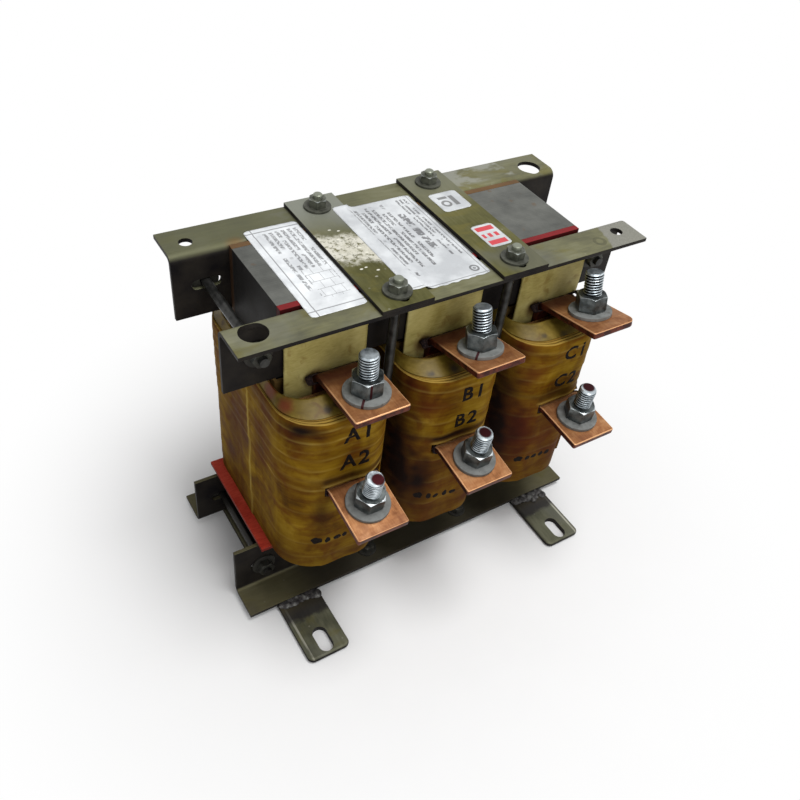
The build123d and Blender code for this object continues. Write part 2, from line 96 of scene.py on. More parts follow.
class Signal:
    """An output in a node tree. Arithmetic adds math nodes: | is the greater of two, & the lesser."""

    def __init__(self, tree, socket):
        self.tree = tree
        self.socket = socket

    __add__ = maths("ADD")
    __sub__ = maths("SUBTRACT")
    __rsub__ = maths("SUBTRACT", swapped=True)
    __mul__ = maths("MULTIPLY")
    __truediv__ = maths("DIVIDE")
    __rtruediv__ = maths("DIVIDE", swapped=True)
    __or__ = maths("MAXIMUM")
    __and__ = maths("MINIMUM")
    __gt__ = maths("GREATER_THAN")
    __lt__ = maths("LESS_THAN")
    __abs__ = maths("ABSOLUTE")
    floor = maths("FLOOR")
    fraction = maths("FRACT")
    cosine = maths("COSINE")
    sine = maths("SINE")

    def outputs(self):
        """All the outputs of its node, by name."""
        return {socket.name: Signal(self.tree, socket) for socket in self.socket.node.outputs}


def rgb(red, green, blue):
    """Colour for a shader from its 0-255 values."""
    parts = [part / 255 for part in (red, green, blue)]
    return (*(part / 12.92 if part <= 0.04045 else ((part + 0.055) / 1.055) ** 2.4 for part in parts), 1.0)


class Finish:
    """One material. Places are object coordinates; a colour is 0-255 values or a signal."""

    def __init__(self, name, **fixed):
        self.material = bpy.data.materials.new(name)
        self.material.use_nodes = True
        self.tree = self.material.node_tree
        self.shader = self.tree.nodes["Principled BSDF"]
        for socket, value in fixed.items():
            self.shader.inputs[socket.replace("_", " ")].default_value = value
        self.place = self.add("TexCoord", output="Object")
        self.x, self.y, self.z = self.split(self.place)
        self.colour = None
        self.normal = None

    def add(self, kind, inputs=None, output=0, **settings):
        return add_node(self.tree, "ShaderNode" + kind, inputs, output, **settings)

    def split(self, vector):
        return list(self.add("SeparateXYZ", {0: vector}).outputs().values())

    def rise(self, value, low, high):
        """0 before low, 1 beyond high, and a soft step between."""
        return self.add("MapRange", {0: value, 1: low, 2: high}, interpolation_type="SMOOTHSTEP")

    def within(self, value, low, high, edge):
        """1 between low and high, with soft edges."""
        return self.rise(value, low - edge, low) * self.rise(value, high + edge, high)

    def spread(self, value, low, high, start=0.3, end=0.7):
        """Turns the range that a noise mostly has into low to high."""
        return self.add("MapRange", {0: value, 1: start, 2: end, 3: low, 4: high})

    def texture(self, kind, size, stretch=(1, 1, 1), shift=(0, 0, 0), **inputs):
        """A texture whose features are about size metres across, longer along a stretched axis."""
        scale = tuple(1 / (size * part) for part in stretch)
        moved = self.add("Mapping", {0: self.place, 1: shift, 3: scale})
        return self.add(kind, {"Vector": moved, "Scale": 1.0, **inputs})

    def noise(self, size, detail=4.0, roughness=0.55, bend=0.0, **where):
        return self.texture("TexNoise", size, Detail=detail, Roughness=roughness, Distortion=bend, **where)

    def patches(self, low, high, size, **look):
        """0 where a noise lies before low, 1 where it lies beyond high."""
        return self.rise(self.noise(size, **look), low, high)

    def spots(self, low, high, size, **where):
        """Round spots on scattered points: 0 as far as low from one, 1 from high to its middle."""
        return self.rise(self.texture("TexVoronoi", size, **where), low, high)

    def distance(self, place, start=None):
        return self.add("VectorMath", {0: start or self.place, 1: place}, output=1, operation="DISTANCE")

    def near(self, place, reach, soft=0.5):
        """1 within reach of a place in metres, with a soft edge."""
        return self.rise(self.distance(place), reach, reach * (1 - soft))

    def stripe(self, place, across):
        """1 in a narrow stripe through a place; across is its level crosswise direction."""
        away = self.add("VectorMath", {0: self.place, 1: place}, operation="SUBTRACT")
        side = self.add("VectorMath", {0: away, 1: across}, output=1, operation="DOT_PRODUCT")
        line = self.within(side, -STRIPE_WIDTH / 2, STRIPE_WIDTH / 2, STRIPE_WIDTH / 4)
        return line * self.near(place, STRIPE_REACH, 0.2)

    def up_facing(self, low=0.3, high=0.85):
        """0 on upright faces, 1 on faces that look up."""
        return self.rise(self.split(self.add("NewGeometry", output="Normal"))[2], low, high)

    def tilted(self, low, high, edge):
        """1 on faces whose flat normal rises between the limits, such as the rounded rims that get a painted
        highlight.
        """
        return self.within(self.split(self.add("NewGeometry", output="True Normal"))[2], low, high, edge)

    def mask(self, name):
        """A number that the piece's mesh carries."""
        return self.add("Attribute", output="Fac", attribute_name=name)

    def ramp(self, value, *stops):
        """Colour that changes along a value, as (place, colour) stops in order."""
        made = self.add("ValToRGB", {0: value})
        elements = made.socket.node.color_ramp.elements
        for place, shade in stops[2:]:
            elements.new(place)
        for element, (place, shade) in zip(elements, stops):
            element.position = place
            element.color = rgb(*shade)
        return made

    def mix(self, factor, low, high, blend="MIX"):
        low, high = (shade if isinstance(shade, Signal) else rgb(*shade) for shade in (low, high))
        return self.add("Mix", {0: factor, 6: low, 7: high}, output=2, data_type="RGBA", blend_type=blend)

    def paint(self, mask, shade, blend="MIX"):
        """Lays a shade over the colour so far, where the mask is 1."""
        self.colour = self.mix(mask, self.colour, shade, blend)

    def bump(self, height, depth):
        """Adds relief of a depth in metres over what is there."""
        inputs = {"Height": height, "Distance": depth, "Strength": 1.0}
        if self.normal is not None:
            inputs["Normal"] = self.normal
        self.normal = self.add("Bump", inputs)

    def done(self, roughness=None):
        for name, signal in (("Base Color", self.colour), ("Roughness", roughness), ("Normal", self.normal)):
            if signal is not None:
                self.tree.links.new(signal.socket, self.shader.inputs[name])
        return self.material


class Growth:
    """A geometry tree with named inputs, run on seed points and baked to a mesh."""

    def __init__(self, name, **inputs):
        self.tree = bpy.data.node_groups.new(name, "GeometryNodeTree")
        face = self.tree.interface
        for in_out in ("INPUT", "OUTPUT"):
            face.new_socket("Geometry", in_out=in_out, socket_type="NodeSocketGeometry")
        self.names = {}
        for label, value in inputs.items():
            kind = "NodeSocketInt" if isinstance(value, int) else "NodeSocketFloat"
            socket = face.new_socket(label, in_out="INPUT", socket_type=kind)
            socket.default_value = value
            self.names[label] = socket.identifier
        socket = face.new_socket("finish", in_out="INPUT", socket_type="NodeSocketMaterial")
        self.names["finish"] = socket.identifier
        self.inputs = Signal(self.tree, self.tree.nodes.new("NodeGroupInput").outputs[0]).outputs()
        self.sink = self.tree.nodes.new("NodeGroupOutput")

    def __getitem__(self, label):
        return self.inputs[label]

    def add(self, kind, inputs=None, output=0, **settings):
        return add_node(self.tree, kind, inputs, output, **settings)

    def carried(self, name):
        """A vector that the seeds carry."""
        return self.add("GeometryNodeInputNamedAttribute", {"Name": name}, data_type="FLOAT_VECTOR")

    def on_seeds(self, instance, along, **inputs):
        """Puts a copy on each seed and turns its own axis, X or Z, to the seed's axis."""
        turned = self.add("FunctionNodeAlignRotationToVector", {"Vector": self.carried("axis")}, axis=along)
        inputs.update(Points=self["Geometry"], Instance=instance, Rotation=turned)
        return self.add("GeometryNodeInstanceOnPoints", inputs)

    def close(self, geometry):
        realized = self.add("GeometryNodeRealizeInstances", {0: geometry})
        finished = self.add("GeometryNodeSetMaterial", {0: realized, "Material": self["finish"]})
        self.tree.links.new(finished.socket, self.sink.inputs[0])

    def grow(self, seeds, finish, **values):
        """Seeds are (place, axis, size) rows. Returns the grown mesh."""
        places, axes, sizes = zip(*seeds)
        points = bpy.data.meshes.new("seeds")
        points.from_pydata([tuple(place) for place in places], [], [])
        for name, vectors in (("axis", axes), ("size", sizes)):
            carried = points.attributes.new(name, "FLOAT_VECTOR", "POINT")
            carried.data.foreach_set("vector", [part for vector in vectors for part in vector])
        holder = put("seeds", points)
        run = holder.modifiers.new("growth", "NODES")
        run.node_group = self.tree
        for label, value in {**values, "finish": finish}.items():
            run[self.names[label]] = value
        return baked(holder)


# Small helpers for meshes and objects


def put(name, data):
    made = bpy.data.objects.new(name, data)
    bpy.context.scene.collection.objects.link(made)
    return made


def baked(holder):
    """Mesh of an object as its modifiers leave it; the object goes."""
    bpy.context.view_layer.update()
    mesh = bpy.data.meshes.new_from_object(holder.evaluated_get(bpy.context.evaluated_depsgraph_get()))
    bpy.data.objects.remove(holder)
    return mesh


def piece(name, mesh, finish=None, replaces=()):
    """Puts a mesh in the scene as a named piece that rides on the reactor; a grown mesh has its finish."""
    made = put(name, mesh)
    if finish:
        mesh.materials.clear()
        mesh.materials.append(finish)
    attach(made, "root")
    if replaces:
        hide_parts(*replaces)
    return made


def mesh_of(name, shape):
    """Turns a bmesh into a mesh."""
    mesh = bpy.data.meshes.new(name)
    shape.to_mesh(mesh)
    shape.free()
    return mesh


def sheet_mesh(name, grid):
    """Mesh of an open sheet from its rows of points."""
    count = len(grid[0])
    starts = [row * count + column for row in range(len(grid) - 1) for column in range(count - 1)]
    mesh = bpy.data.meshes.new(name)
    mesh.from_pydata([spot for line in grid for spot in line], [],
                     [(start, start + 1, start + count + 1, start + count) for start in starts])
    return mesh


def thicken(made, thickness, offset):
    wall = made.modifiers.new("thickness", "SOLIDIFY")
    wall.thickness = thickness
    wall.offset = offset


def smooth_by_angle(mesh, degrees):
    mesh.shade_smooth()
    mesh.set_sharp_from_angle(angle=math.radians(degrees))


def soft_step(value, low, high):
    share = min(max((value - low) / (high - low), 0.0), 1.0)
    return share * share * (3 - 2 * share)


def ripple(*spot):
    """Smooth noise at a spot of three numbers."""
    return noise.noise(Vector(spot))


# Finishes of the steel parts, the hardware and the copper


def olive_steel(name, dark, mid, light, along=(6, 1, 1), extra=None):
    """Oily olive-grey bar steel: rolled streaks, blotches and nicks, with painted shade low down under the coils and
    on the upright faces.
    """
    steel = Finish(name, Metallic=0.2, Specular_IOR_Level=0.08)
    blotches = steel.noise(0.035, shift=(3.1, 0.4, 0), detail=5, bend=0.4)
    streaks = steel.noise(0.0025, stretch=along, detail=3)
    steel.colour = steel.ramp(blotches * 0.7 + streaks * 0.3, (0.33, dark), (0.5, mid), (0.68, light))
    steel.paint(steel.spots(0.10, 0.04, 0.011) * 0.35, (158, 156, 140))
    smears = steel.patches(0.54, 0.72, 0.02, stretch=(2, 1, 1), shift=(0, 7, 2), bend=1.2)
    steel.paint(smears * 0.5, (104, 97, 46))
    steel.paint(steel.patches(0.5, 0.66, 0.05, shift=(2, 3, 9), detail=3) * 0.5, (100, 101, 94))
    if extra:
        extra(steel, steel.x, steel.y)
    # Painted shade: darker low down under the coils, and darker still in the middle where the coils stand over the
    # steel.
    low = steel.rise(steel.z, 0.12, 0.06) * steel.rise(steel.y, -0.052, -0.040)
    steel.paint(low * 0.6, (82, 74, 52))
    steel.paint(steel.rise(abs(steel.x), 0.127, 0.088) * low * 0.7, (32, 28, 27))
    # Painted shade: the upright faces take a dark brown-black, the faces that look up keep the steel's colour.
    scale = steel.ramp(steel.noise(0.02, shift=(6, 6, 6), detail=5), (0.35, (22, 20, 21)), (0.7, (44, 40, 35)))
    steel.colour = steel.mix(steel.up_facing(), scale, steel.colour)
    steel.bump(steel.noise(0.0007, detail=2), 0.00006)
    steel.bump(streaks, 0.00004)
    return steel.done(steel.spread(blotches, 0.42, 0.6))


def worn_flanges(steel, x, y):
    """Bare bright end of the front flange, rubbed patches, rust beside the core."""
    rough_edge = steel.noise(0.006, shift=(5, 5, 5)) * 0.006
    bare = steel.rise(x - y * 0.32 + rough_edge, 0.1345, 0.1365)
    bare = bare * steel.rise(y, 0.002, -0.004) * steel.rise(steel.z, 0.2585, 0.2600)
    grain = steel.mix(steel.noise(0.0012, detail=3), (112, 112, 105), (148, 147, 139))
    steel.paint(bare * 0.9, grain)
    rubbed = steel.near((-0.066, 0.088, 0.262), 0.020, 0.8) * steel.patches(0.42, 0.6, 0.004, stretch=(3, 1, 1))
    steel.paint(rubbed * 0.6, (138, 137, 130))
    patch = steel.within(x + y * 0.28 + rough_edge, 0.090, 0.1415, 0.002) * steel.rise(y, 0.070, 0.074)
    film = steel.patches(0.56, 0.42, 0.012, stretch=(1.6, 1, 1), shift=(3, 3, 1), detail=5)
    steel.paint(patch * film * 0.75, (146, 147, 138))
    steel.paint(steel.rise(y, 0.045, 0.065) * steel.rise(x, 0.03, -0.05) * 0.7, (86, 87, 66))
    steel.paint(steel.near((-0.109, 0.0655, 0.262), 0.009, 0.8) * 0.5, (112, 78, 40))
    ring = steel.within(steel.distance((0.117, -0.0267, 0.262)), 0.0030, 0.0046, 0.0008)
    steel.paint(ring * 0.4, (52, 50, 40))


def scuffed_strap(steel, x, y):
    """Pale torn-paper residue across the left strap, white flecks, greyer rear ends."""
    steel.paint(steel.rise(y, 0.03, 0.085) * steel.spread(x, 0.85, 0.4, -0.02, 0.02), (134, 137, 128))
    ragged = steel.noise(0.009, shift=(4, 4, 0), detail=6, roughness=0.7) * 0.022
    slant = y + x * 0.35 + ragged - 0.011
    left = steel.rise(x, 0.0, -0.005)
    band = steel.within(slant, 0.000, 0.022, 0.009) * left
    torn = steel.patches(0.36, 0.52, 0.0035, shift=(1, 2, 3), detail=6, roughness=0.75)
    white = steel.mix(steel.noise(0.006, shift=(0, 3, 1), detail=5), (186, 182, 160), (232, 230, 222))
    steel.paint(band * torn * 0.95, white)
    specks = steel.spots(0.2, 0.1, 0.0028, shift=(8, 1, 0)) * steel.patches(0.48, 0.55, 0.008, shift=(7, 1, 0))
    steel.paint(specks * band, (52, 46, 34))
    flecks = steel.spots(0.16, 0.10, 0.0055, shift=(2, 2, 0), stretch=(1.6, 1, 1))
    steel.paint(flecks * (steel.within(slant, -0.016, 0.03, 0.010) * left), (222, 220, 206))


def foot_highlight_and_heat_tint(steel, x, y):
    """Painted highlight just inside the rolled outer edges, heat tint in front of the weld."""
    # Painted highlight: a bright line just inside each rolled outer edge.
    line = steel.within(abs(x), 0.1262, 0.1272, 0.0006) * steel.patches(0.3, 0.55, 0.012, stretch=(1, 4, 1))
    steel.paint(line * 0.7, (196, 194, 178))
    heat = steel.within(y + steel.noise(0.01, shift=(2, 0, 5)) * 0.012, -0.048, -0.030, 0.005)
    steel.paint(heat * 0.8, (40, 36, 42))


def laminated_steel():
    """Stacked sheets: lines along the stack, oxide blotches, and painted shade on the upright faces."""
    steel = Finish("core_steel", Metallic=0.2, Specular_IOR_Level=0.08)
    sheets = steel.add("CombineXYZ", {1: steel.y * 2100.0})
    tone = steel.add("TexNoise", {"Vector": sheets, "Scale": 1.0, "Detail": 1.0})
    blotches = steel.noise(0.018, shift=(1, 1, 4), detail=5)
    steel.colour = steel.ramp(
        tone * 0.35 + blotches * 0.65, (0.34, (76, 77, 74)), (0.5, (95, 96, 92)), (0.66, (112, 113, 108)),
    )
    steel.paint(steel.patches(0.62, 0.74, 0.009, shift=(4, 4, 4), detail=6) * 0.5, (100, 74, 50))
    # Painted shade: the upright faces take a near-black, the faces that look up keep the steel's colour.
    upright_shade = steel.mix(blotches, (22, 22, 24), (50, 48, 45))
    steel.colour = steel.mix(steel.up_facing(), upright_shade, steel.colour)
    steel.bump(tone, 0.00012)
    return steel.done(steel.spread(blotches, 0.45, 0.62))


def zinc(name, dark, light, roughness, metallic=0.85, marks=(), stripes=(), root=None, shade_below=0.12, glint=0.0,
         lit_top=None):
    """Plated hardware, patchy, with painted shade below a given height; marks and stripes are dark red lacquer. The
    rods' tops can be painted lighter as painted light, and tilted rims can get a painted highlight.
    """
    plated = Finish(name, Metallic=metallic, Specular_IOR_Level=0.3)
    sheen = plated.noise(0.006, shift=(2, 9, 1), detail=4)
    plated.colour = plated.ramp(sheen, (0.36, dark), (0.62, light))
    plated.paint(plated.patches(0.6, 0.72, 0.004, shift=(6, 1, 1), detail=5) * 0.4, (62, 58, 48))
    # Painted shade: darker below a given height, where the hardware sits low in shade.
    low = plated.rise(plated.z, shade_below, shade_below * 0.9)
    plated.paint(low * 0.8, (36, 33, 31))
    # Painted shade in the thread roots, from the mask the grown bolts carry.
    if root:
        plated.paint(plated.mask("root"), root)
    # Painted light: the rods' tops above their nuts are painted lighter, as where the light reaches them.
    if lit_top:
        plated.paint(plated.rise(plated.z, *LIT_TOP_HEIGHTS), lit_top)
    for place, reach in marks:
        plated.paint(plated.near(place, reach, 0.3), LACQUER)
    for place, across in stripes:
        plated.paint(plated.stripe(place, across), LACQUER)
    # Painted highlight on the tilted faces of rims and chamfers, kept off the painted shade low down.
    plated.paint(plated.tilted(0.35, 0.8, 0.12) * glint * (1.0 - low), (214, 221, 224))
    plated.bump(plated.noise(0.0006, detail=2), 0.00005)
    return plated.done(plated.spread(sheen, *roughness))


def copper_bar():
    """Sheared copper bar: fine drawn scratches, orange to brown tarnish, roots darker with tarnish and painted shade,
    painted shade on the side faces, painted highlights on the rims.
    """
    metal = Finish("copper", Metallic=0.55, Specular_IOR_Level=0.3)
    tarnish = metal.noise(0.013, shift=(1, 5, 2), detail=6, bend=0.6)
    scratches = metal.noise(0.0011, stretch=(1, 14, 1), detail=3)
    cross = metal.noise(0.0016, stretch=(9, 1, 1), shift=(3, 3, 3), detail=3)
    lines = scratches * 0.6 + cross * 0.4
    tone = tarnish * 0.65 + lines * 0.35
    metal.colour = metal.ramp(tone, (0.36, (114, 69, 38)), (0.5, (154, 104, 64)), (0.66, (184, 137, 94)))
    metal.paint(metal.patches(0.45, 0.72, 0.008, shift=(7, 7, 1), detail=5) * 0.5, (116, 74, 50))
    # Roots darker with tarnish and painted shade: the upper bars next to the panel, and the leads down in the coils.
    upper = metal.rise(metal.z, 0.18, 0.19)
    lead = 1.0 - (upper | metal.rise(metal.z, 0.134, 0.139))
    root_tarnish_and_shade = (metal.rise(metal.y, -0.040, -0.026) * upper) | lead
    metal.paint(root_tarnish_and_shade * 0.85, (74, 34, 26))
    # Painted shade: the side faces take a dark red-brown, the faces that look up keep the copper's colour.
    edges = metal.ramp(metal.noise(0.006, shift=(3, 8, 3), detail=4), (0.4, (52, 22, 17)), (0.6, (98, 46, 30)))
    metal.colour = metal.mix(metal.up_facing(0.35, 0.8), edges, metal.colour)
    # Painted highlight on the rounded rims, kept off the roots.
    metal.paint(metal.tilted(0.30, 0.94, 0.02) * (1.0 - root_tarnish_and_shade) * 0.8, (228, 176, 128))
    metal.bump(lines, 0.00005)
    metal.bump(tarnish, 0.0001)
    return metal.done(metal.spread(tone, 0.55, 0.4, 0.35, 0.65))


def weld_metal():
    """Silvery bead, heat-tinted violet and brown."""
    bead = Finish("weld", Metallic=0.4, Roughness=0.55, Specular_IOR_Level=0.2)
    tint = bead.noise(0.004, detail=5)
    bead.colour = bead.ramp(tint, (0.38, (44, 41, 42)), (0.54, (76, 74, 73)), (0.7, (124, 124, 120)))
    bead.bump(bead.noise(0.0015, shift=(2, 2, 2), detail=4), 0.0003)
    return bead.done()


# Finishes of the insulation and the windings


def red_laminate():
    """Glass-mat polyester board, matt red with fine fibres; the top rear board is rust brown; the upright faces get
    painted shade.
    """
    board = Finish("red_board", Roughness=0.6, Specular_IOR_Level=0.2)
    cloud = board.noise(0.02, detail=5)
    fibres = board.noise(0.0009, stretch=(5, 1, 1), shift=(3, 0, 0), detail=2)
    tone = cloud * 0.6 + fibres * 0.4
    board.colour = board.ramp(tone, (0.35, (156, 42, 28)), (0.52, (184, 60, 42)), (0.68, (200, 80, 58)))
    high = board.rise(board.z, 0.16, 0.2)
    board.paint(high, board.mix(tone, (86, 12, 16), (134, 26, 30)))
    board.paint(high * board.rise(board.y, 0.03, 0.05), board.mix(cloud, (78, 56, 32), (108, 80, 48)))
    # Painted shade: the upright faces are multiplied towards a dark red.
    board.paint(0.75, board.mix(board.up_facing(), (70, 18, 16), (255, 255, 255)), "MULTIPLY")
    board.bump(fibres, 0.00008)
    return board.done()


def paper(name, dark, mid, light, stain, size=0.02, gloss=0.5, marks=()):
    """Aramid or varnished paper with soft clouds, fibres and stains; marks are (place, reach, colour)."""
    sheet = Finish(name, Roughness=gloss, Specular_IOR_Level=0.22)
    clouds = sheet.noise(size, detail=5, bend=0.5)
    fibres = sheet.noise(0.0012, stretch=(4, 4, 1), shift=(1, 2, 8), detail=3)
    sheet.colour = sheet.ramp(clouds * 0.75 + fibres * 0.25, (0.35, dark), (0.5, mid), (0.66, light))
    sheet.paint(sheet.patches(0.56, 0.72, 0.012, shift=(9, 4, 2), detail=5, bend=0.8) * 0.6, stain)
    ragged = sheet.noise(0.003, shift=(5, 2, 2), detail=5) * 0.003
    # Marks lay stains, and on the panels and collars also painted shadow by the upper tab roots.
    for place, reach, shade in marks:
        spot = sheet.rise(sheet.distance(place) + ragged, reach + 0.0015, reach * 0.3 + 0.0015)
        sheet.paint(spot * 0.85, shade)
    sheet.bump(fibres, 0.00005)
    sheet.bump(clouds, 0.0004)
    return sheet.done()


def varnished_wrap():
    """Amber varnish over glass cloth: level bands of tape, red-brown runs, stains and dirt, painted highlights on the
    lap edges, and painted shade under the laps, between the coils, by the lower leads and towards the bottom.
    """
    wrap = Finish("coil_wrap", Specular_IOR_Level=0.01)
    clouds = wrap.noise(0.024, detail=5, bend=0.6)
    broad = wrap.noise(0.013, stretch=(6, 6, 1), shift=(2, 2, 2), detail=5, bend=0.4)
    fine = wrap.noise(0.0022, stretch=(12, 12, 1), shift=(5, 2, 8), detail=3)
    flank = wrap.rise(wrap.y, -0.054, -0.026)
    hanging = wrap.noise(0.010, stretch=(1.2, 1.2, 5), shift=(7, 2, 2), detail=5, bend=0.7) * 0.6 + 0.2
    broad = broad * (1.0 - flank) + hanging * flank
    wrap.colour = wrap.ramp(
        clouds * 0.5 + broad * 0.38 + fine * 0.12,
        (0.36, (66, 40, 12)), (0.45, (104, 72, 14)), (0.54, (132, 100, 22)), (0.66, (158, 128, 42)),
    )
    runs = wrap.patches(0.5, 0.68, 0.016, stretch=(1.4, 1.4, 1), shift=(6, 1, 5), detail=5, bend=0.9)
    wrap.paint(runs * 0.6, (92, 48, 14))
    dark_bands = wrap.patches(0.56, 0.68, 0.005, stretch=(14, 14, 1), shift=(1, 8, 3), detail=4)
    wrap.paint(dark_bands * (0.3 - flank * 0.3), (82, 40, 14))
    for name, shade in WRAP_MASKS.items():
        wrap.paint(wrap.mask(name), shade)
    # Painted shade: darker towards the bottom of the wrap.
    wrap.paint(wrap.rise(wrap.z, 0.115, 0.062) * 0.45, (58, 36, 20))
    wrap.bump(wrap.noise(0.0008, stretch=(4, 4, 1), shift=(0, 4, 4), detail=2), 0.00006)
    wrap.bump(broad, 0.0004)
    return wrap.done(wrap.spread(clouds, 0.4, 0.55))


def dark_sleeve():
    """Woven sleeving soaked in dark varnish."""
    cloth = Finish("sleeve_fabric", Roughness=0.75, Specular_IOR_Level=0.1)
    weave = cloth.texture("TexVoronoi", 0.0012)
    cloth.colour = cloth.ramp(weave, (0.2, (50, 36, 34)), (0.8, (22, 16, 18)))
    cloth.bump(weave, 0.0002)
    return cloth.done()


def foil_edges():
    """Edges of wound foil with paper between the turns."""
    foil = Finish("winding_foil", Metallic=0.4, Roughness=0.5)
    turns = foil.noise(0.0005, stretch=(1, 1, 80), detail=1)
    foil.colour = foil.ramp(turns, (0.42, (96, 70, 34)), (0.5, (150, 112, 60)), (0.6, (176, 128, 84)))
    foil.bump(turns, 0.0001)
    return foil.done()


def ink_film():
    """Thin stamped ink that lets the varnish show through in places."""
    ink = Finish("stamp_ink", Roughness=0.7, Specular_IOR_Level=0.06)
    gaps = ink.patches(0.6, 0.7, 0.0016, detail=4, roughness=0.7)
    ink.colour = ink.mix(gaps * 0.6, (18, 13, 12), (84, 60, 24))
    return ink.done()


# Finishes of the labels: generic rows, boxes and shapes. u runs across a label, v along it, both 0 to 1


def label_paper(name, dark=(184, 187, 190), light=(214, 217, 219)):
    label = Finish(name, Roughness=0.4, Specular_IOR_Level=0.3)
    label.uv = label.add("TexCoord", output="UV")
    label.u, label.v = label.split(label.uv)[:2]
    label.colour = label.ramp(label.noise(0.02, detail=4), (0.38, dark), (0.62, light))
    label.bump(label.noise(0.004, shift=(3, 1, 1), detail=4), 0.00025)
    return label


def window(label, u_low, u_high, v_low, v_high, edges):
    """1 inside a rectangle of the label; edges are its soft edges in u and v."""
    return label.within(label.u, u_low, u_high, edges[0]) * label.within(label.v, v_low, v_high, edges[1])


def flat_noise(label, across, up, detail):
    spot = label.add("CombineXYZ", {0: across, 1: up})
    return label.add("TexNoise", {"Vector": spot, "Scale": 1.0, "Detail": detail})


def print_rows(label, zone, rows, words, bold=0.5):
    """Rows of word-like dashes in a zone of the label: (u low, u high, v low, v high)."""
    u_low, u_high, v_low = zone[:3]
    scaled = label.add("MapRange", {0: label.u, 1: u_low, 2: u_high, 3: 0.0, 4: rows}, clamp=False)
    row = scaled.floor()
    line = label.within(scaled.fraction(), 0.5 - bold / 2, 0.5 + bold / 2, 0.06)
    offset = label.add("TexWhiteNoise", {"W": row + words}, noise_dimensions="1D")
    inside = window(label, *zone, (0.001, 0.002)) * (label.v > offset * 0.2 + v_low)
    word = label.rise(flat_noise(label, label.v * words, row * 3.7, 0.0), 0.36, 0.40)
    glyph = label.rise(flat_noise(label, label.v * (words * 6.0), scaled * 2.3, 1.0), 0.38, 0.50)
    return line * inside * (word * glyph)


def rating_paper():
    """White plate of generic rows, with a thin border and a plain ring."""
    label = label_paper("rating_label")
    ink = print_rows(label, (0.15, 0.62, 0.12, 0.95), 7.0, 11.0)
    ink = ink | print_rows(label, (0.64, 0.76, 0.24, 0.80), 1.0, 7.0, bold=0.62)
    ink = ink | print_rows(label, (0.78, 0.93, 0.16, 0.96), 3.0, 14.0)
    spot = label.add("CombineXYZ", {0: label.u * 61.6, 1: label.v * 102.5})
    away = label.distance((53.5, 8.0, 0), spot)
    ink = ink | label.within(away, 2.2, 3.4, 0.25) | label.within(away, 0.4, 1.0, 0.25)
    edge = label.within(label.u, 0.955, 0.962, 0.004) | label.within(label.v, 0.016, 0.021, 0.003)
    label.paint((ink | edge * 0.7) * 0.72, (48, 46, 48))
    return label.done()


def diagram_paper():
    """White plate with a border line, a few generic boxes and short rows."""
    label = label_paper("diagram_label", (204, 207, 210), (234, 237, 239))
    border = label.within(label.u, 0.125, 0.14, 0.006) | label.within(label.v, 0.955, 0.962, 0.003)
    border = border | label.within(label.v, 0.05, 0.056, 0.003)
    rows = print_rows(label, (0.26, 0.94, 0.1, 0.93), 6.0, 10.0)
    black, white = rgb(0, 0, 0), rgb(255, 255, 255)
    boxes = label.add("TexBrick", {
        "Vector": label.add("CombineXYZ", {0: label.u * 16.0, 1: label.v * 30.0}), "Scale": 1.0, "Mortar Size": 0.06,
        "Brick Width": 3.0, "Row Height": 2.4, "Color1": black, "Color2": black, "Mortar": white,
    })
    zone = window(label, 0.42, 0.9, 0.14, 0.46, (0.004, 0.002))
    ink = border | (rows * (1.0 - zone) | boxes * zone)
    label.paint(ink * 0.62, (56, 54, 56))
    return label.done()


def white_sticker_paper():
    """Small white sticker with three plain grey shapes."""
    label = label_paper("white_sticker")
    soft = (0.02, 0.02)
    ink = label.within(label.distance((0.32, 0.4, 0), label.uv), 0.10, 0.16, 0.02)
    ink = ink | window(label, 0.58, 0.72, 0.25, 0.75, soft) | window(label, 0.2, 0.5, 0.66, 0.76, soft)
    label.paint(ink * 0.75, (74, 72, 70))
    return label.done()


def red_sticker_paper():
    """Small white sticker with two red bars and a row of short red dashes."""
    label = label_paper("red_sticker")
    bars = label.within(label.v, 0.10, 0.27, 0.015) | label.within(label.v, 0.73, 0.90, 0.015)
    bars = bars * label.within(label.u, 0.12, 0.88, 0.02)
    dash = label.within((label.u * 3.4).fraction(), 0.3, 0.8, 0.05)
    dash = dash * window(label, 0.12, 0.88, 0.42, 0.58, (0.01, 0.015))
    label.paint(bars | dash, (196, 62, 70))
    return label.done()


# Where the terminal hardware sits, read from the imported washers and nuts


BAR_THICKNESS = 4.76 * MM
STUD_RADIUS = 6.35 * MM
STUD_PITCH = 1.954 * MM
STUD_RISE = 30.5 * MM
NUT_FOOT = 3.3 * MM
NUT_TOP = 14.4 * MM
NUT_FLATS = 19.05 * MM
HEAD_HEIGHT = 4.8 * MM
ENGAGED_RADIUS = 5.72 * MM


def islands(node):
    """Separate solids of a node, each as its list of corner points."""
    mesh = bmesh.new()
    mesh.from_mesh(NODES[node].data)
    bmesh.ops.remove_doubles(mesh, verts=mesh.verts, dist=1e-6)
    left = set(mesh.verts)
    found = []
    while left:
        reach = [left.pop()]
        island = []
        while reach:
            vert = reach.pop()
            island.append(vert.co.copy())
            for edge in vert.link_edges:
                other = edge.other_vert(vert)
                if other in left:
                    left.remove(other)
                    reach.append(other)
        found.append(island)
    mesh.free()
    return found


def box_centre(points):
    """Middle of the points' box."""
    return Vector([(min(p[i] for p in points) + max(p[i] for p in points)) / 2 for i in range(3)])


def terminal_seats():
    """Seat and axis of each stud, from the middles of its washer and its nut: upper A, B, C, lower A, B, C."""
    nuts = [box_centre(island) for island in islands("terminal_nuts")]
    seats = []
    for island in islands("terminal_washers"):
        low = box_centre(island)
        nut = min(nuts, key=lambda centre: (centre - low).length)
        axis = (nut - low).normalized()
        foot = min(axis.dot(point - low) for point in island)
        seats.append((low + axis * foot, axis))
    return sorted(seats, key=lambda seat: (seat[0].z < 0.18, seat[0].x))


SEATS = terminal_seats()


# Threaded studs and weld beads


BEAD_INSET = 3.4 * MM


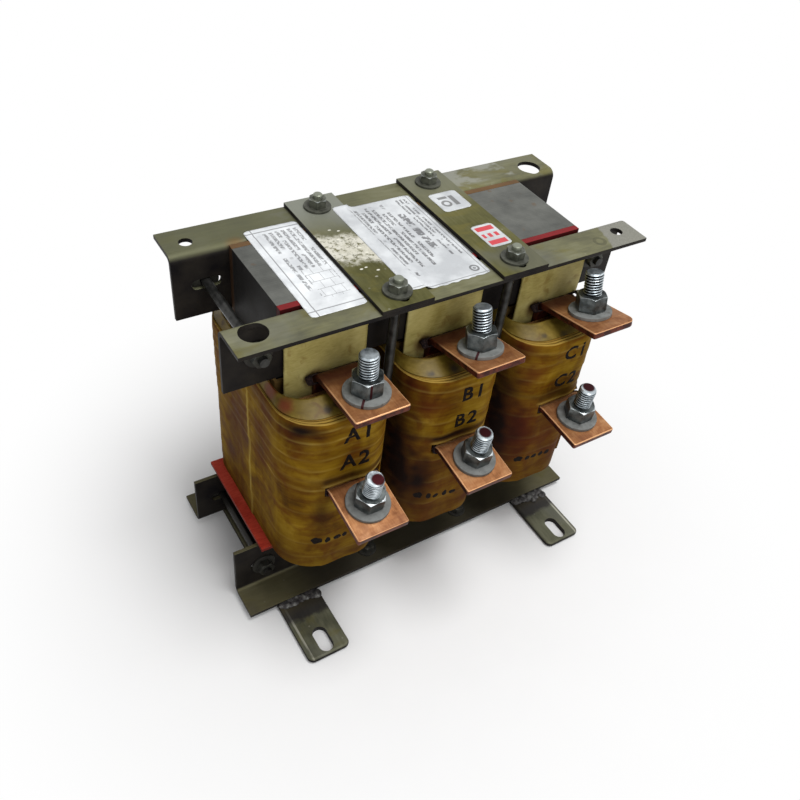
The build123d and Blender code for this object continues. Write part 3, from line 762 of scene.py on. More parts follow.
def threaded_bolt_tree():
    """Bolt on each seed: helical thread with a turned tip, waisted inside its nut, on a hex head."""
    tree = Growth(
        "threaded bolts", radius=STUD_RADIUS, depth=0.0011, pitch=STUD_PITCH, start=-BAR_THICKNESS,
        length=0.035, tip=0.001, nut_from=0.0, nut_to=0.0, nut_radius=0.005, flats=0.019,
        head=HEAD_HEIGHT, columns=28, rows=150,
    )
    grid = tree.add("GeometryNodeMeshGrid", {0: 1.0, 1: 1.0, 2: tree["columns"] + 1.0, 3: tree["rows"] + 1.0})
    flat = tree.add("ShaderNodeSeparateXYZ", {0: tree.add("GeometryNodeInputPosition")}).outputs()
    around = flat["X"] + 0.5
    along = flat["Y"] + 0.5
    step = 1.0 / tree["rows"]
    share = tree.add("ShaderNodeMapRange", {0: along, 1: step, 2: 1.0 - step, 3: 0.0, 4: 1.0})
    height = share * tree["length"]
    left = tree["length"] - height
    above = height + tree["start"]
    turn = (height / tree["pitch"] - around).fraction()
    groove = tree.add("ShaderNodeMapRange", {0: abs(turn * 2.0 - 1.0), 1: 0.1, 2: 0.84, 3: 1.0, 4: 0.0})
    radius = (tree["radius"] - groove * tree["depth"]) & (tree["radius"] - tree["tip"] + left)
    in_nut = (above > tree["nut_from"]) * (above < tree["nut_to"])
    radius = radius - ((radius - tree["nut_radius"]) | 0.0) * in_nut
    half_step = step * 0.5
    radius = radius * ((along > half_step) * (along < 1.0 - half_step))
    angle = around * math.tau
    spot = tree.add("ShaderNodeCombineXYZ", {0: radius * angle.cosine(), 1: radius * angle.sine(), 2: above})
    # The root mask marks the grooves, which the finish paints dark as painted shade.
    dark = (groove * 2.0 & 1.0) * (left > 0.0007)
    shank = tree.add("GeometryNodeStoreNamedAttribute", {0: grid, "Name": "root", "Value": dark})
    shank = tree.add("GeometryNodeSetPosition", {0: shank, "Position": spot})
    shank = tree.add("GeometryNodeMergeByDistance", {0: shank, "Distance": 1e-6})
    head = tree.add("GeometryNodeMeshCylinder", {
        "Vertices": 6, "Radius": tree["flats"] / math.sqrt(3), "Depth": tree["head"],
    })
    drop = tree.add("ShaderNodeCombineXYZ", {2: tree["start"] - tree["head"] * 0.5})
    head = tree.add("GeometryNodeTransform", {0: head, "Translation": drop})
    both = tree.add("GeometryNodeJoinGeometry", {0: shank})
    tree.tree.links.new(head.socket, both.socket.node.inputs[0])
    tree.close(tree.on_seeds(both, "Z"))
    return tree


def bead_tree():
    """Weld bead: an overlapping ripple on each seed, roughened by noise."""
    tree = Growth("weld ripples", detail=4, roughness=0.0009, grain=300.0)
    ball = tree.add("GeometryNodeMeshIcoSphere", {"Radius": 1.0, "Subdivisions": tree["detail"]})
    solid = tree.add("GeometryNodeRealizeInstances", {0: tree.on_seeds(ball, "X", Scale=tree.carried("size"))})
    cloud = tree.add("ShaderNodeTexNoise", {"Scale": tree["grain"], "Detail": 3.0}, output="Fac")
    outward = tree.add(
        "ShaderNodeVectorMath", {0: tree.add("GeometryNodeInputNormal"), "Scale": (cloud - 0.5) * tree["roughness"]},
        operation="SCALE",
    )
    tree.close(tree.add("GeometryNodeSetPosition", {0: solid, "Offset": outward}))
    return tree


def grow_terminal_bolts():
    mesh = threaded_bolt_tree().grow(
        [(seat, axis, (1, 1, 1)) for seat, axis in SEATS], FINISHES["terminal_bolt_zinc"],
        length=STUD_RISE + BAR_THICKNESS, nut_from=NUT_FOOT, nut_to=NUT_TOP, nut_radius=ENGAGED_RADIUS,
        flats=NUT_FLATS,
    )
    smooth_by_angle(mesh, 32)
    piece("terminal_bolts_threaded", mesh, replaces=["terminal_bolts"])


def grow_weld_beads():
    """A lumpy bead along the front edge of the bottom flange on each foot bar."""
    tree = bead_tree()
    rng = random.Random(7)
    flange_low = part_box("bottom_front_angle")[0]
    for side, spread in (("left", 4.2), ("right", 7.5)):
        low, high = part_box(f"{side}_foot_bar")
        seeds = []
        x = low.x + BEAD_INSET
        while x < high.x - BEAD_INSET:
            forward = rng.uniform(0.4, spread)
            place = (x, flange_low.y - forward * MM, high.z + rng.uniform(0.2, 0.9) * MM)
            size = (rng.uniform(2.6, 4.4) * MM, rng.uniform(2.6, 4.2) * MM, rng.uniform(1.2, 2.1) * MM)
            seeds.append((place, (1, rng.uniform(-0.9, 0.9), rng.uniform(-0.15, 0.15)), size))
            x += rng.uniform(0.7, 1.5) * MM
        mesh = tree.grow(seeds, FINISHES["weld"])
        smooth_by_angle(mesh, 60)
        piece(f"{side}_weld_bead", mesh)


# Coil wraps: varnished tape with laps, folds and a slit for the lower lead


WRAP_CORNER = 29 * MM
WRAP_COLUMNS = 250
WRAP_ROWS = 84
FRONT_BULGE = 6.5 * MM
LEAD_HALF = 19.45 * MM
SLIT_HALF = 21.0 * MM
SLIT_LOW = 135.4 * MM
SLIT_HIGH = 144.6 * MM
LEAD_FOOT = 77 * MM
LEAD_CLEAR = 0.2 * MM
SKIN_CLEAR = 0.05 * MM

# How far the wrap stands out over the lead, and the most it does without its fullness, in mm
LEAD_STAND = 0.7
MOST_RELIEF = 1.5

# Numbers that the wrap's mesh carries, and the colour that each lays over it: brown stain, which also holds painted
# shade under the laps and on the rim's low steps; painted highlight on lap edges, the rim and the slit's lip; dark
# dirt mixed with painted shade
WRAP_MASKS = {"stain": (86, 36, 16), "pale": (192, 164, 84), "grime_and_shade": (28, 20, 18)}

# Outward directions of the front, right, rear and left sides
SIDES = ((0, -1), (1, 0), (0, 1), (-1, 0))

# Rim of the wrap from its outer edge inwards: share of the wall, height under the top in mm
RIM = (
    (0.05, 0.25), (0.16, 0.0), (0.28, 0.1), (0.33, 1.3), (0.40, 1.4), (0.45, 0.3), (0.60, 0.1),
    (0.70, 0.4), (0.75, 1.7), (0.82, 1.6), (0.88, 0.5),
)

# Horizontal laps of the tape: height in mm, how far the edge stands out, how strong the painted highlight on its edge
# is
LAPS = {
    "a": ((196, 0.6, 0.5), (187, 0.7, 0.6), (179, 0.4, 0.2), (171, 0.5, 0.35), (162, 0.5, 0.4), (152, 0.4, 0.3),
          (143, 0.5, 0.55), (118, 0.3, 0.15), (86, 0.35, 0.25), (70, 0.3, 0.2)),
    "b": ((194, 0.5, 0.4), (180, 0.4, 0.2), (166, 0.5, 0.3), (152, 0.4, 0.35), (128, 0.4, 0.15), (104, 0.3, 0.2),
          (82, 0.35, 0.25)),
    "c": ((195, 0.5, 0.4), (183, 0.4, 0.2), (169, 0.5, 0.25), (154, 0.4, 0.35), (133, 0.4, 0.15), (112, 0.3, 0.2),
          (90, 0.35, 0.25)),
}

# How far the tape stands full round the right-hand front corner, in mm
FULLNESS = {"a": 3.0, "b": 2.7, "c": 1.8}

# Stains on the outer face: way round and height in mm, half sizes in mm, brown, dark. The tall dark ones at -44 and
# -64 round on B and C are painted shade in the gaps between the coils; those low down at -16 to -34 round are painted
# shadow of the lower tabs mixed with stains.
STAINS_AND_SHADE = {
    "a": ((-30, 198, 12, 4, 0.1, 0.95), (-33, 189, 11, 8, 0.5, 0.4), (-60, 192, 12, 10, 0.6, 0.15),
          (-70, 168, 14, 9, 0.6, 0.1), (-52, 152, 12, 8, 0.6, 0.05), (-78, 140, 12, 10, 0.55, 0.1),
          (-104, 150, 10, 40, 0.45, 0.15), (-120, 120, 14, 50, 0.5, 0.3), (-16, 116, 7, 22, 0.3, 0.6),
          (-14, 150, 14, 5, 0.3, 0.3), (24, 66, 16, 5, 0.2, 0.4)),
    "b": ((-38, 197, 14, 5, 0.8, 0.1), (-26, 180, 12, 9, 0.75, 0.0), (-44, 140, 10, 60, 0.3, 0.65),
          (-8, 150, 26, 3, 0.2, 0.5), (-22, 108, 9, 26, 0.3, 0.6), (14, 104, 30, 12, 0.3, 0.2),
          (-64, 130, 16, 80, 0.3, 0.75), (30, 70, 14, 8, 0.5, 0.2),
          (-34, 104, 14, 42, 0.3, 0.6)),
    "c": ((-36, 197, 14, 5, 0.8, 0.1), (-24, 176, 11, 11, 0.75, 0.0), (-44, 140, 10, 60, 0.3, 0.65),
          (-4, 154, 26, 3, 0.2, 0.45), (-22, 120, 12, 24, 0.6, 0.3), (-64, 130, 16, 80, 0.3, 0.75),
          (16, 90, 26, 14, 0.35, 0.1), (-34, 104, 14, 42, 0.3, 0.55)),
}


def coil_loop(coil, count):
    """Points round the wrap: (x, y, outward normal, way round from the front's middle), in metres."""
    low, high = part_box(f"coil_{coil}_outer_wrap")
    inner_low, inner_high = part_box(f"coil_{coil}_outer_winding")
    front = inner_low.y - FRONT_BULGE
    rear = inner_high.y - (low.x - inner_low.x)
    centre = (low.x + high.x) / 2
    flat = (high.x - low.x) / 2 - WRAP_CORNER
    side = rear - front - 2 * WRAP_CORNER
    quarter = WRAP_CORNER * math.pi / 2
    runs = [flat, quarter, side, quarter, 2 * flat, quarter, side, quarter, flat]
    total = sum(runs)
    fore, aft = front + WRAP_CORNER, rear - WRAP_CORNER
    pivots = [(0, fore), (flat, fore), (flat, aft), (-flat, aft), (-flat, fore)]
    loop = []
    for step in range(count):
        way = total * step / count
        left = way
        part = 0
        while left > runs[part]:
            left -= runs[part]
            part += 1
        sides_passed, round_corner = divmod(part, 2)
        turn, ahead = (left / WRAP_CORNER, 0.0) if round_corner else (0.0, left)
        out, onward = SIDES[sides_passed % 4], SIDES[(sides_passed + 1) % 4]
        normal = [a * math.cos(turn) + b * math.sin(turn) for a, b in zip(out, onward)]
        pivot = pivots[sides_passed + round_corner]
        x, y = (pivot[i] + WRAP_CORNER * normal[i] + ahead * onward[i] for i in range(2))
        loop.append((centre + x, y, *normal, way if way <= total / 2 else way - total))
    return loop


def wrap_reading(coil, x, y, z, way, lead_centre):
    """Relief in metres and the colour masks at one point of a wrap's outer face: stain with painted shade, painted
    highlight, and dirt with painted shade.
    """
    seed = COILS.index(coil) * 17.3
    height = z / MM
    round_mm = way / MM
    spot = Vector((x / MM / 34, y / MM / 34, height / 60 + seed))
    relief = 0.35 * noise.noise(spot) + 0.16 * noise.noise(spot * 3.1 + Vector((4, 1, 2)))
    stain = pale = grime_and_shade = 0.0
    for level, stand, light in LAPS[coil]:
        edge = level + 2.2 * ripple(round_mm / 26, level, seed) + 0.01 * round_mm
        gap = height - edge
        relief += stand * math.exp(-max(gap, 0) / 9) * soft_step(gap, -0.9, 0.4)
        line = math.exp(-((gap - 0.6) / 0.8) ** 2)
        strength = 0.5 + 0.5 * ripple(round_mm / 18, level * 2, seed + 3)
        strength *= 1 - 0.8 * soft_step(abs(round_mm), 56, 78)
        # Painted highlight along each lap edge.
        pale += light * line * strength
        # Painted shade: the brown stain just under each lap edge.
        stain += 0.35 * math.exp(-max(-gap - 0.5, 0) / 3.5) * soft_step(gap, 0.2, -1.2) * strength
    # Stains, with painted shade between the coils and painted shadow by the lower leads.
    for middle_way, level, wide, tall, brown, dark in STAINS_AND_SHADE[coil]:
        ragged = 1 + 0.5 * ripple(round_mm / 7, height / 7, seed + 9)
        amount = math.exp(-(((round_mm - middle_way) / wide) ** 2 + ((height - level) / tall) ** 2) * ragged)
        stain += brown * amount
        grime_and_shade += dark * amount
    if coil == "a" and round_mm < 0:
        sheet_end = -(round_mm + 90.5) + 1.2 * ripple(height / 30, 2, 5)
        relief += 0.5 * math.exp(-max(sheet_end, 0) / 10) * soft_step(sheet_end, -0.8, 0.4)
        # Painted highlight along the end of the outer sheet.
        pale += 0.75 * math.exp(-((sheet_end - 0.4) / 0.9) ** 2) * soft_step(height, 196, 180)
    pucker = math.exp(-(203 - height) / 16) * soft_step(abs(round_mm), 8, 24) * soft_step(abs(round_mm), 96, 60)
    relief += 0.45 * pucker * ripple(round_mm / 5, height / 40, seed + 1)
    over_lead = soft_step(abs(x - lead_centre) / MM, 24, 19.5) if y < 0 else 0.0
    relief += LEAD_STAND * over_lead * soft_step(height, 152, 134)
    relief += 0.5 * over_lead * math.exp(-((height - 146.0) / 1.6) ** 2)
    # Painted highlight along the lip over the slit, and a darker band above it.
    pale += 0.8 * over_lead * math.exp(-((height - 145.6) / 0.9) ** 2)
    grime_and_shade += 0.5 * over_lead * math.exp(-((height - 149.5) / 2.6) ** 2)
    stain += 0.35 * soft_step(height, 198, 203)
    if coil != "a":
        stain += 0.3 * soft_step(height, 154, 149)
    relief += FULLNESS[coil] * soft_step(round_mm, 3, 26) * soft_step(round_mm, 132, 96) * soft_step(height, 203, 190)
    masks = [min(max(amount, 0.0), 1.0) for amount in (stain, pale, grime_and_shade)]
    return min(relief, MOST_RELIEF + FULLNESS[coil] * 0.6) * MM, masks


def build_wrap(coil):
    """Closed shell of one wrap: outer face, layered rim, inner face, and the slit for the lower lead."""
    low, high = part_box(f"coil_{coil}_outer_wrap")
    winding_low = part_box(f"coil_{coil}_outer_winding")[0]
    lead_low, lead_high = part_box(f"coil_{coil}_lower_terminal")
    lead_centre = (lead_low.x + lead_high.x) / 2
    lead_front = winding_low.y - BAR_THICKNESS - LEAD_CLEAR
    loop = coil_loop(coil, WRAP_COLUMNS)
    levels = [low.z + (high.z - low.z) * row / WRAP_ROWS for row in range(WRAP_ROWS + 1)]
    top = levels[-1]
    skin = []

    def inner_spot(x, y, normal_x, normal_y, z):
        """Point of the inner face: on the winding, or in front of the lead."""
        wall = winding_low.x - low.x - SKIN_CLEAR
        front_wall = winding_low.y - (low.y + LEAD_STAND * MM) - SKIN_CLEAR
        spot_x = x - normal_x * wall
        spot_y = y - normal_y * (front_wall if normal_y < 0 else wall)
        if abs(spot_x - lead_centre) < LEAD_HALF and normal_y < 0 and LEAD_FOOT < z < SLIT_HIGH:
            spot_y = min(spot_y, lead_front)
        return spot_x, spot_y

    for z in levels:
        for x, y, normal_x, normal_y, way in loop:
            relief, masks = wrap_reading(coil, x, y, z, way, lead_centre)
            rear = max(normal_y, 0.0)
            relief = relief * (1 - rear) + min(0.5 * relief - 0.55 * MM, 0.0) * rear
            sunk = 0.0
            if z == top:
                relief -= 0.5 * MM
                sunk = 0.6 * MM
            skin.append((x + normal_x * relief, y + normal_y * relief, z - sunk, *masks))
    rim_start = len(skin)
    for share, drop in RIM:
        # On the rim, painted highlight on the raised layers and painted shade on the low steps, over a brown tint.
        gap = soft_step(drop, 0.6, 1.3)
        for x, y, normal_x, normal_y, way in loop:
            inner_x, inner_y = inner_spot(x, y, normal_x, normal_y, top)
            wave = 0.5 * ripple(way / MM / 9, share * 20, 3.0)
            skin.append((x + (inner_x - x) * share, y + (inner_y - y) * share,
                         top - (drop + max(wave, 0) * 0.6) * MM, 0.35 + 0.4 * gap, 0.45 * (1 - gap), 0.35 * gap))
    inner_start = len(skin)
    for z in levels:
        for x, y, normal_x, normal_y, way in loop:
            sunk = 0.5 * MM if z == top else 0.0
            skin.append((*inner_spot(x, y, normal_x, normal_y, z), z - sunk, 0.5, 0.0, 0.2))

    count = len(loop)

    def kept(row, column):
        """Whether a cell of the wall is there, or open at the slit."""
        if not 0 <= row < WRAP_ROWS:
            return False
        start, end = loop[column % count], loop[(column + 1) % count]
        in_front = start[3] < -0.5 and end[3] < -0.5
        over_slit = abs((start[0] + end[0]) / 2 - lead_centre) < SLIT_HALF
        return not (in_front and over_slit and SLIT_LOW < (levels[row] + levels[row + 1]) / 2 < SLIT_HIGH)

    faces = []
    for row in range(WRAP_ROWS):
        for column in range(count):
            if not kept(row, column):
                continue
            a, b = row * count + column, row * count + (column + 1) % count
            c, d = a + count, b + count
            inner_a, inner_b, inner_c, inner_d = (inner_start + corner for corner in (a, b, c, d))
            faces += [(a, b, d, c), (inner_a, inner_c, inner_d, inner_b)]
            for closed, edge_wall in (
                (row == 0 or kept(row - 1, column), (a, inner_a, inner_b, b)),
                (row == WRAP_ROWS - 1 or kept(row + 1, column), (c, d, inner_d, inner_c)),
                (kept(row, column - 1), (a, c, inner_c, inner_a)),
                (kept(row, column + 1), (b, inner_b, inner_d, d)),
            ):
                if not closed:
                    faces.append(edge_wall)
    rings = [WRAP_ROWS * count, *(rim_start + i * count for i in range(len(RIM))), inner_start + WRAP_ROWS * count]
    for ring, following in zip(rings, rings[1:]):
        for column in range(count):
            after = (column + 1) % count
            faces.append((ring + column, ring + after, following + after, following + column))
    faces += [(i, inner_start + i, inner_start + (i + 1) % count, (i + 1) % count) for i in range(count)]
    mesh = bpy.data.meshes.new(f"coil_{coil}_wrap_skin")
    mesh.from_pydata([row[:3] for row in skin], [], faces)
    for i, name in enumerate(WRAP_MASKS):
        mesh.attributes.new(name, "FLOAT", "POINT").data.foreach_set("value", [row[3 + i] for row in skin])
    mesh.validate()
    smooth_by_angle(mesh, 60)
    return piece(f"coil_{coil}_wrap_skin", mesh, FINISHES["coil_wrap"], [f"coil_{coil}_outer_wrap"])


# Barrier panels: thin paper, set a little off the middle of each coil, bowed above the leads


# Head edges from the coil's middle in mm, left and right
PANEL_HEADS = {"a": (-25.4, 31.6), "b": (-27.2, 31.8), "c": (-22.6, 33.8)}
MOUTH_HALF = 29.6
NECK_HALF = 27.4
PANEL_THICKNESS = 1.8 * MM
PANEL_ROWS, PANEL_COLUMNS = 60, 28


def build_panel(coil):
    low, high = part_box(f"coil_{coil}_barrier_panel")
    collar_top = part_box(f"coil_{coil}_collar")[1].z
    centre = (low.x + high.x) / 2
    left, right = PANEL_HEADS[coil]
    head_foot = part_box(f"coil_{coil}_inner_winding")[1].z + 0.1 * MM
    grid = []
    for row in range(PANEL_ROWS + 1):
        z = low.z + (high.z - low.z) * row / PANEL_ROWS
        free = soft_step(z / MM, 222, 244)
        ragged = 0.35 * ripple(z * 400, centre, 1)
        edges = (left + ragged, right + ragged)
        if z < head_foot:
            edges = (-NECK_HALF, NECK_HALF)
        elif z < collar_top + 1.4 * MM:
            edges = (max(left, -MOUTH_HALF) + ragged, MOUTH_HALF)
        line = []
        for column in range(PANEL_COLUMNS + 1):
            x = centre + (edges[0] + (edges[1] - edges[0]) * column / PANEL_COLUMNS) * MM
            wave = ripple(x * 28, z * 22, 4) + 0.4 * ripple(x * 90, z * 80, 1)
            line.append((x, low.y + (0.05 + free * (0.4 + 0.7 * wave)) * MM, z))
        grid.append(line)
    mesh = sheet_mesh(f"coil_{coil}_paper_panel", grid)
    smooth_by_angle(mesh, 40)
    made = piece(f"coil_{coil}_paper_panel", mesh, FINISHES["panel_paper"],
                 [f"coil_{coil}_barrier_panel"])
    thicken(made, PANEL_THICKNESS, -1.0)


# Lead sleeves: soft dark sleeving round each bar where it turns out of the coil


BAR_HALF = 19.05 * MM
BEND_RADIUS = 7.38 * MM
SLEEVE_WALL = 0.55 * MM
SLEEVE_GAP = 0.2 * MM
SLEEVE_CORNER = 1.6 * MM
SLEEVE_STEPS = 16

# Middle of the bend (y, z) in mm, the part of the turn that is covered in degrees, spare width in mm
BENDS = {"upper": (-24.47, 206.0, 18.0, 60.0, 3.2), "lower": (-54.97, 133.2, 40.0, 66.0, 1.2)}
PANEL_CLEAR = 9.66 * MM


def rounded_loop(half_width, half_height, corner):
    """Points round a rounded rectangle, about 2 mm apart on its straight sides."""
    points = []
    for quarter, (right, above) in enumerate(((1, 1), (-1, 1), (-1, -1), (1, -1))):
        for step in range(5):
            turn = math.pi / 2 * (quarter + step / 4)
            points.append((right * (half_width - corner) + corner * math.cos(turn),
                           above * (half_height - corner) + corner * math.sin(turn)))
    whole = []
    for first, second in zip(points, points[1:] + points[:1]):
        parts = max(1, round(math.dist(first, second) / (2.2 * MM)))
        whole += [tuple(a + (b - a) * (step / parts) for a, b in zip(first, second)) for step in range(parts)]
    return whole


def build_sleeves(level, seats):
    bend_y, bend_z, start, end, spare = BENDS[level]
    outer_half = BAR_HALF + spare * MM
    thick = BAR_THICKNESS / 2 + SLEEVE_GAP + SLEEVE_WALL
    outline = rounded_loop(outer_half, thick, SLEEVE_CORNER)
    film = bmesh.new()

    def spot(seat, wall, share, across, up):
        """A point of the sleeve: across and up on its section, a share of the way round the bend."""
        seed = Vector((across * 260, up * 300, seat.x * 90))
        bare = 0.75 * soft_step(abs(across) / MM, 18.6, 15.0) if up > 0 else 0.0
        turn = math.radians(start + (end - start) * (1 - bare) * share + 5.0 * noise.noise(seed) * share)
        soft = 0.22 * MM * noise.noise(seed + Vector((0, 0, share * 5))) * (0.4 if wall else 1)
        x = across * (1 - wall / outer_half) + soft * (2 if across > 0 else -2)
        radius = BEND_RADIUS + up * (1 - wall / thick) + (soft if up > 0 else -soft)
        if level == "upper":
            radius = min(radius, (PANEL_CLEAR - wall * 0.5) / math.cos(turn))
            if across < -BAR_HALF:
                x -= 2.6 * MM * math.sin(math.pi * min(share + 0.15, 1.0))
            if across > 0:
                x -= 2.45 * MM * soft_step(across / MM, 17, 21)
        return seat.x + x, bend_y * MM + radius * math.cos(turn), bend_z * MM + radius * math.sin(turn)

    for seat, axis in seats:
        rings = [
            [film.verts.new(spot(seat, wall, step / SLEEVE_STEPS, *place)) for place in outline]
            for wall in (0.0, SLEEVE_WALL) for step in range(SLEEVE_STEPS + 1)
        ]
        order = rings[:SLEEVE_STEPS + 1] + rings[:SLEEVE_STEPS:-1]
        for first, second in zip(order, order[1:] + order[:1]):
            for i in range(len(outline)):
                j = (i + 1) % len(outline)
                film.faces.new((first[i], first[j], second[j], second[i]))
    bmesh.ops.recalc_face_normals(film, faces=film.faces)
    mesh = mesh_of(f"{level}_sleeving", film)
    smooth_by_angle(mesh, 50)
    piece(f"{level}_sleeving", mesh, FINISHES["sleeve_fabric"], [f"{level}_lead_sleeves"])


# Ink on the coils


INK_THICKNESS = 0.05 * MM
INK_STEP = 1.6 * MM
RAY_FRONT = -0.2

# Terminal marks: coil, text, left edge, foot and height in mm in the row frame
TERMINAL_MARKS = (
    ("a", "A1", -91.0, 182.0, 12.0), ("a", "A2", -92.5, 157.5, 12.5),
    ("b", "B1", -1.5, 180.5, 12.0), ("b", "B2", -3.5, 156.5, 12.0),
    ("c", "C1", 87.5, 184.5, 12.0), ("c", "C2", 85.5, 158.5, 12.0),
)

# Smeared blots low on the coils: coil, middle x and z, half sizes in mm
BLOTS = (
    ("a", -107.0, 89.5, 3.6, 3.4), ("a", -99.5, 88.6, 2.4, 2.6), ("a", -92.0, 87.8, 3.0, 2.2),
    ("a", -86.0, 87.2, 1.8, 2.6), ("b", -22.0, 90.2, 3.2, 2.9), ("b", -14.5, 88.8, 2.0, 2.8),
    ("b", -8.5, 87.2, 2.6, 2.0), ("b", 0.0, 85.8, 2.2, 2.6), ("b", 7.0, 84.2, 2.8, 2.2),
    ("c", 72.5, 86.2, 3.4, 3.2), ("c", 80.5, 85.6, 2.2, 2.4), ("c", 87.0, 84.8, 2.8, 2.0),
    ("c", 94.0, 84.2, 2.0, 2.6), ("c", 100.5, 83.6, 2.6, 2.4),
)


def tree_of(objects):
    """Ray target made of several objects' meshes."""
    points = []
    faces = []
    for target in objects:
        start = len(points)
        points += [vertex.co.copy() for vertex in target.data.vertices]
        faces += [[start + index for index in polygon.vertices] for polygon in target.data.polygons]
    return BVHTree.FromPolygons(points, faces)


def letter_drawing(text, left, foot, height):
    """Flat generic letters in X and Z, a little ragged."""
    letters = bpy.data.curves.new("letters", "FONT")
    letters.body = text
    letters.size = height * MM * 1.38
    letters.space_character = 1.22
    letters.offset = 0.0005
    letters.resolution_u = 3
    flat = bmesh.new()
    flat.from_mesh(baked(put("letters", letters)))
    for vertex in flat.verts:
        rough = 0.25 * noise.noise(vertex.co * 900)
        vertex.co = Vector((left * MM + vertex.co.x * 0.94 + rough * MM, 0, foot * MM + vertex.co.y))
    bmesh.ops.remove_doubles(flat, verts=flat.verts, dist=1e-6)
    return flat


def blot_drawing(x, z, wide, tall):
    """A flat ragged blot in X and Z."""
    flat = bmesh.new()
    ring = []
    for step in range(20):
        angle = math.tau * step / 20
        reach = 1 + 0.35 * ripple(math.cos(angle) * 1.4, math.sin(angle) * 1.4, x)
        ring.append(flat.verts.new((
            (x + wide * reach * math.cos(angle)) * MM, 0, (z + tall * reach * math.sin(angle)) * MM,
        )))
    flat.faces.new(ring)
    return flat


def press_ink(flat, target):
    """Presses a flat drawing onto the front of a coil as a thin closed film."""
    bmesh.ops.triangulate(flat, faces=flat.faces)
    while long_edges := [edge for edge in flat.edges if edge.calc_length() > INK_STEP]:
        bmesh.ops.subdivide_edges(flat, edges=long_edges, cuts=1)
        bmesh.ops.triangulate(flat, faces=flat.faces)
    for vertex in flat.verts:
        start = Vector((vertex.co.x, RAY_FRONT, vertex.co.z))
        hit = target.ray_cast(start, Vector((0, 1, 0)))[0]
        vertex.co.y = (hit.y if hit else start.y) - INK_THICKNESS
    rim = [edge.verts[:] for edge in flat.edges if edge.is_boundary]
    fronts = flat.faces[:]
    back = bmesh.ops.duplicate(flat, geom=flat.verts[:] + flat.edges[:] + fronts)
    rears = [made for made in back["geom"] if isinstance(made, bmesh.types.BMFace)]
    for made in back["geom"]:
        if isinstance(made, bmesh.types.BMVert):
            made.co.y += 0.8 * INK_THICKNESS
    for faces, inward in ((fronts, 1), (rears, -1)):
        for face in faces:
            if face.normal.y * inward > 0:
                face.normal_flip()
    twin = back["vert_map"]
    for first, second in rim:
        flat.faces.new((first, second, twin[second], twin[first])).normal_update()
    bmesh.ops.recalc_face_normals(flat, faces=flat.faces)


def stamp_coils(wraps):
    """Terminal marks and smeared blots on the fronts of the coils."""
    for coil in COILS:
        target = tree_of([wraps[coil]])
        film = bmesh.new()
        drawings = [letter_drawing(*mark) for owner, *mark in TERMINAL_MARKS if owner == coil]
        drawings += [blot_drawing(*blot) for owner, *blot in BLOTS if owner == coil]
        for flat in drawings:
            press_ink(flat, target)
            film.from_mesh(mesh_of("drawing", flat))
        piece(f"coil_{coil}_ink", mesh_of(f"coil_{coil}_ink", film), FINISHES["stamp_ink"])


# Labels on top


RAY_TOP = 0.4
LABEL_STEP = 1.1
LABEL_SAG = 3.4 * MM
LABEL_SWEEPS = 7
LABEL_LIFT = 0.06 * MM
LABEL_THICKNESS = 0.1 * MM
LABEL_CORNER = 2.6

# Name of the label and of its finish, x and y limits in mm in the row frame
LABELS = (
    ("diagram_label", -101.0, -63.6, -22.5, 74.5), ("rating_label", -36.5, 24.6, -26.3, 75.5),
    ("white_sticker", 34.0, 57.0, 41.0, 65.0), ("red_sticker", 38.0, 55.8, -7.5, 18.6),
)
TOP_NODES = (
    "core_upper_yoke", "upper_front_board", "upper_rear_board", "top_front_angle", "top_rear_angle", "left_strap",
    "right_strap",
)


def drape_label(name, x_low, x_high, y_low, y_high, target):
    """A thin printed sheet laid over the top of the frame, bridging small steps."""
    wide, root_tarnish_and_shade = x_high - x_low, y_high - y_low
    columns, rows = int(wide / LABEL_STEP), int(root_tarnish_and_shade / LABEL_STEP)
    heights = []
    for row in range(rows + 1):
        starts = [Vector(((x_low + wide * column / columns) * MM, (y_low + root_tarnish_and_shade * row / rows) * MM, RAY_TOP))
                  for column in range(columns + 1)]
        heights.append([target.ray_cast(start, Vector((0, 0, -1)))[0].z for start in starts])
    floor = max(map(max, heights)) - LABEL_SAG
    heights = [[max(value, floor) for value in line] for line in heights]
    for sweep in range(LABEL_SWEEPS):
        settled = [line[:] for line in heights]
        for row in range(rows + 1):
            for column in range(columns + 1):
                around = [heights[row][column]]
                if 0 < column < columns:
                    around.append((heights[row][column - 1] + heights[row][column + 1]) / 2)
                if 0 < row < rows:
                    around.append((heights[row - 1][column] + heights[row + 1][column]) / 2)
                settled[row][column] = max(around)
        heights = settled
    grid = []
    for row in range(rows + 1):
        short = max(LABEL_CORNER - min(row, rows - row) * root_tarnish_and_shade / rows, 0.0)
        inset = LABEL_CORNER - math.sqrt(LABEL_CORNER ** 2 - short ** 2)
        line = []
        for column in range(columns + 1):
            x = x_low + inset + (wide - 2 * inset) * column / columns
            y = y_low + root_tarnish_and_shade * row / rows
            if name == "rating_label":
                y += 0.9 * ripple(x / 4, 0, 0) * soft_step(row, 4, 0)
            wrinkle = ripple(x * 0.06, y * 0.06, 3) + ripple(x * 0.3, y * 0.09, 1)
            line.append((x * MM, y * MM, heights[row][column] + LABEL_LIFT + max(wrinkle, 0) * 0.12 * MM))
        grid.append(line)
    mesh = sheet_mesh(name, grid)
    layer = mesh.uv_layers.new(name="UVMap")
    for loop in mesh.loops:
        spot = mesh.vertices[loop.vertex_index].co
        layer.data[loop.index].uv = ((spot.x / MM - x_low) / wide, (spot.y / MM - y_low) / root_tarnish_and_shade)
    mesh.shade_smooth()
    thicken(piece(name, mesh, FINISHES[name]), LABEL_THICKNESS, 1.0)


# The finishes' places and colours


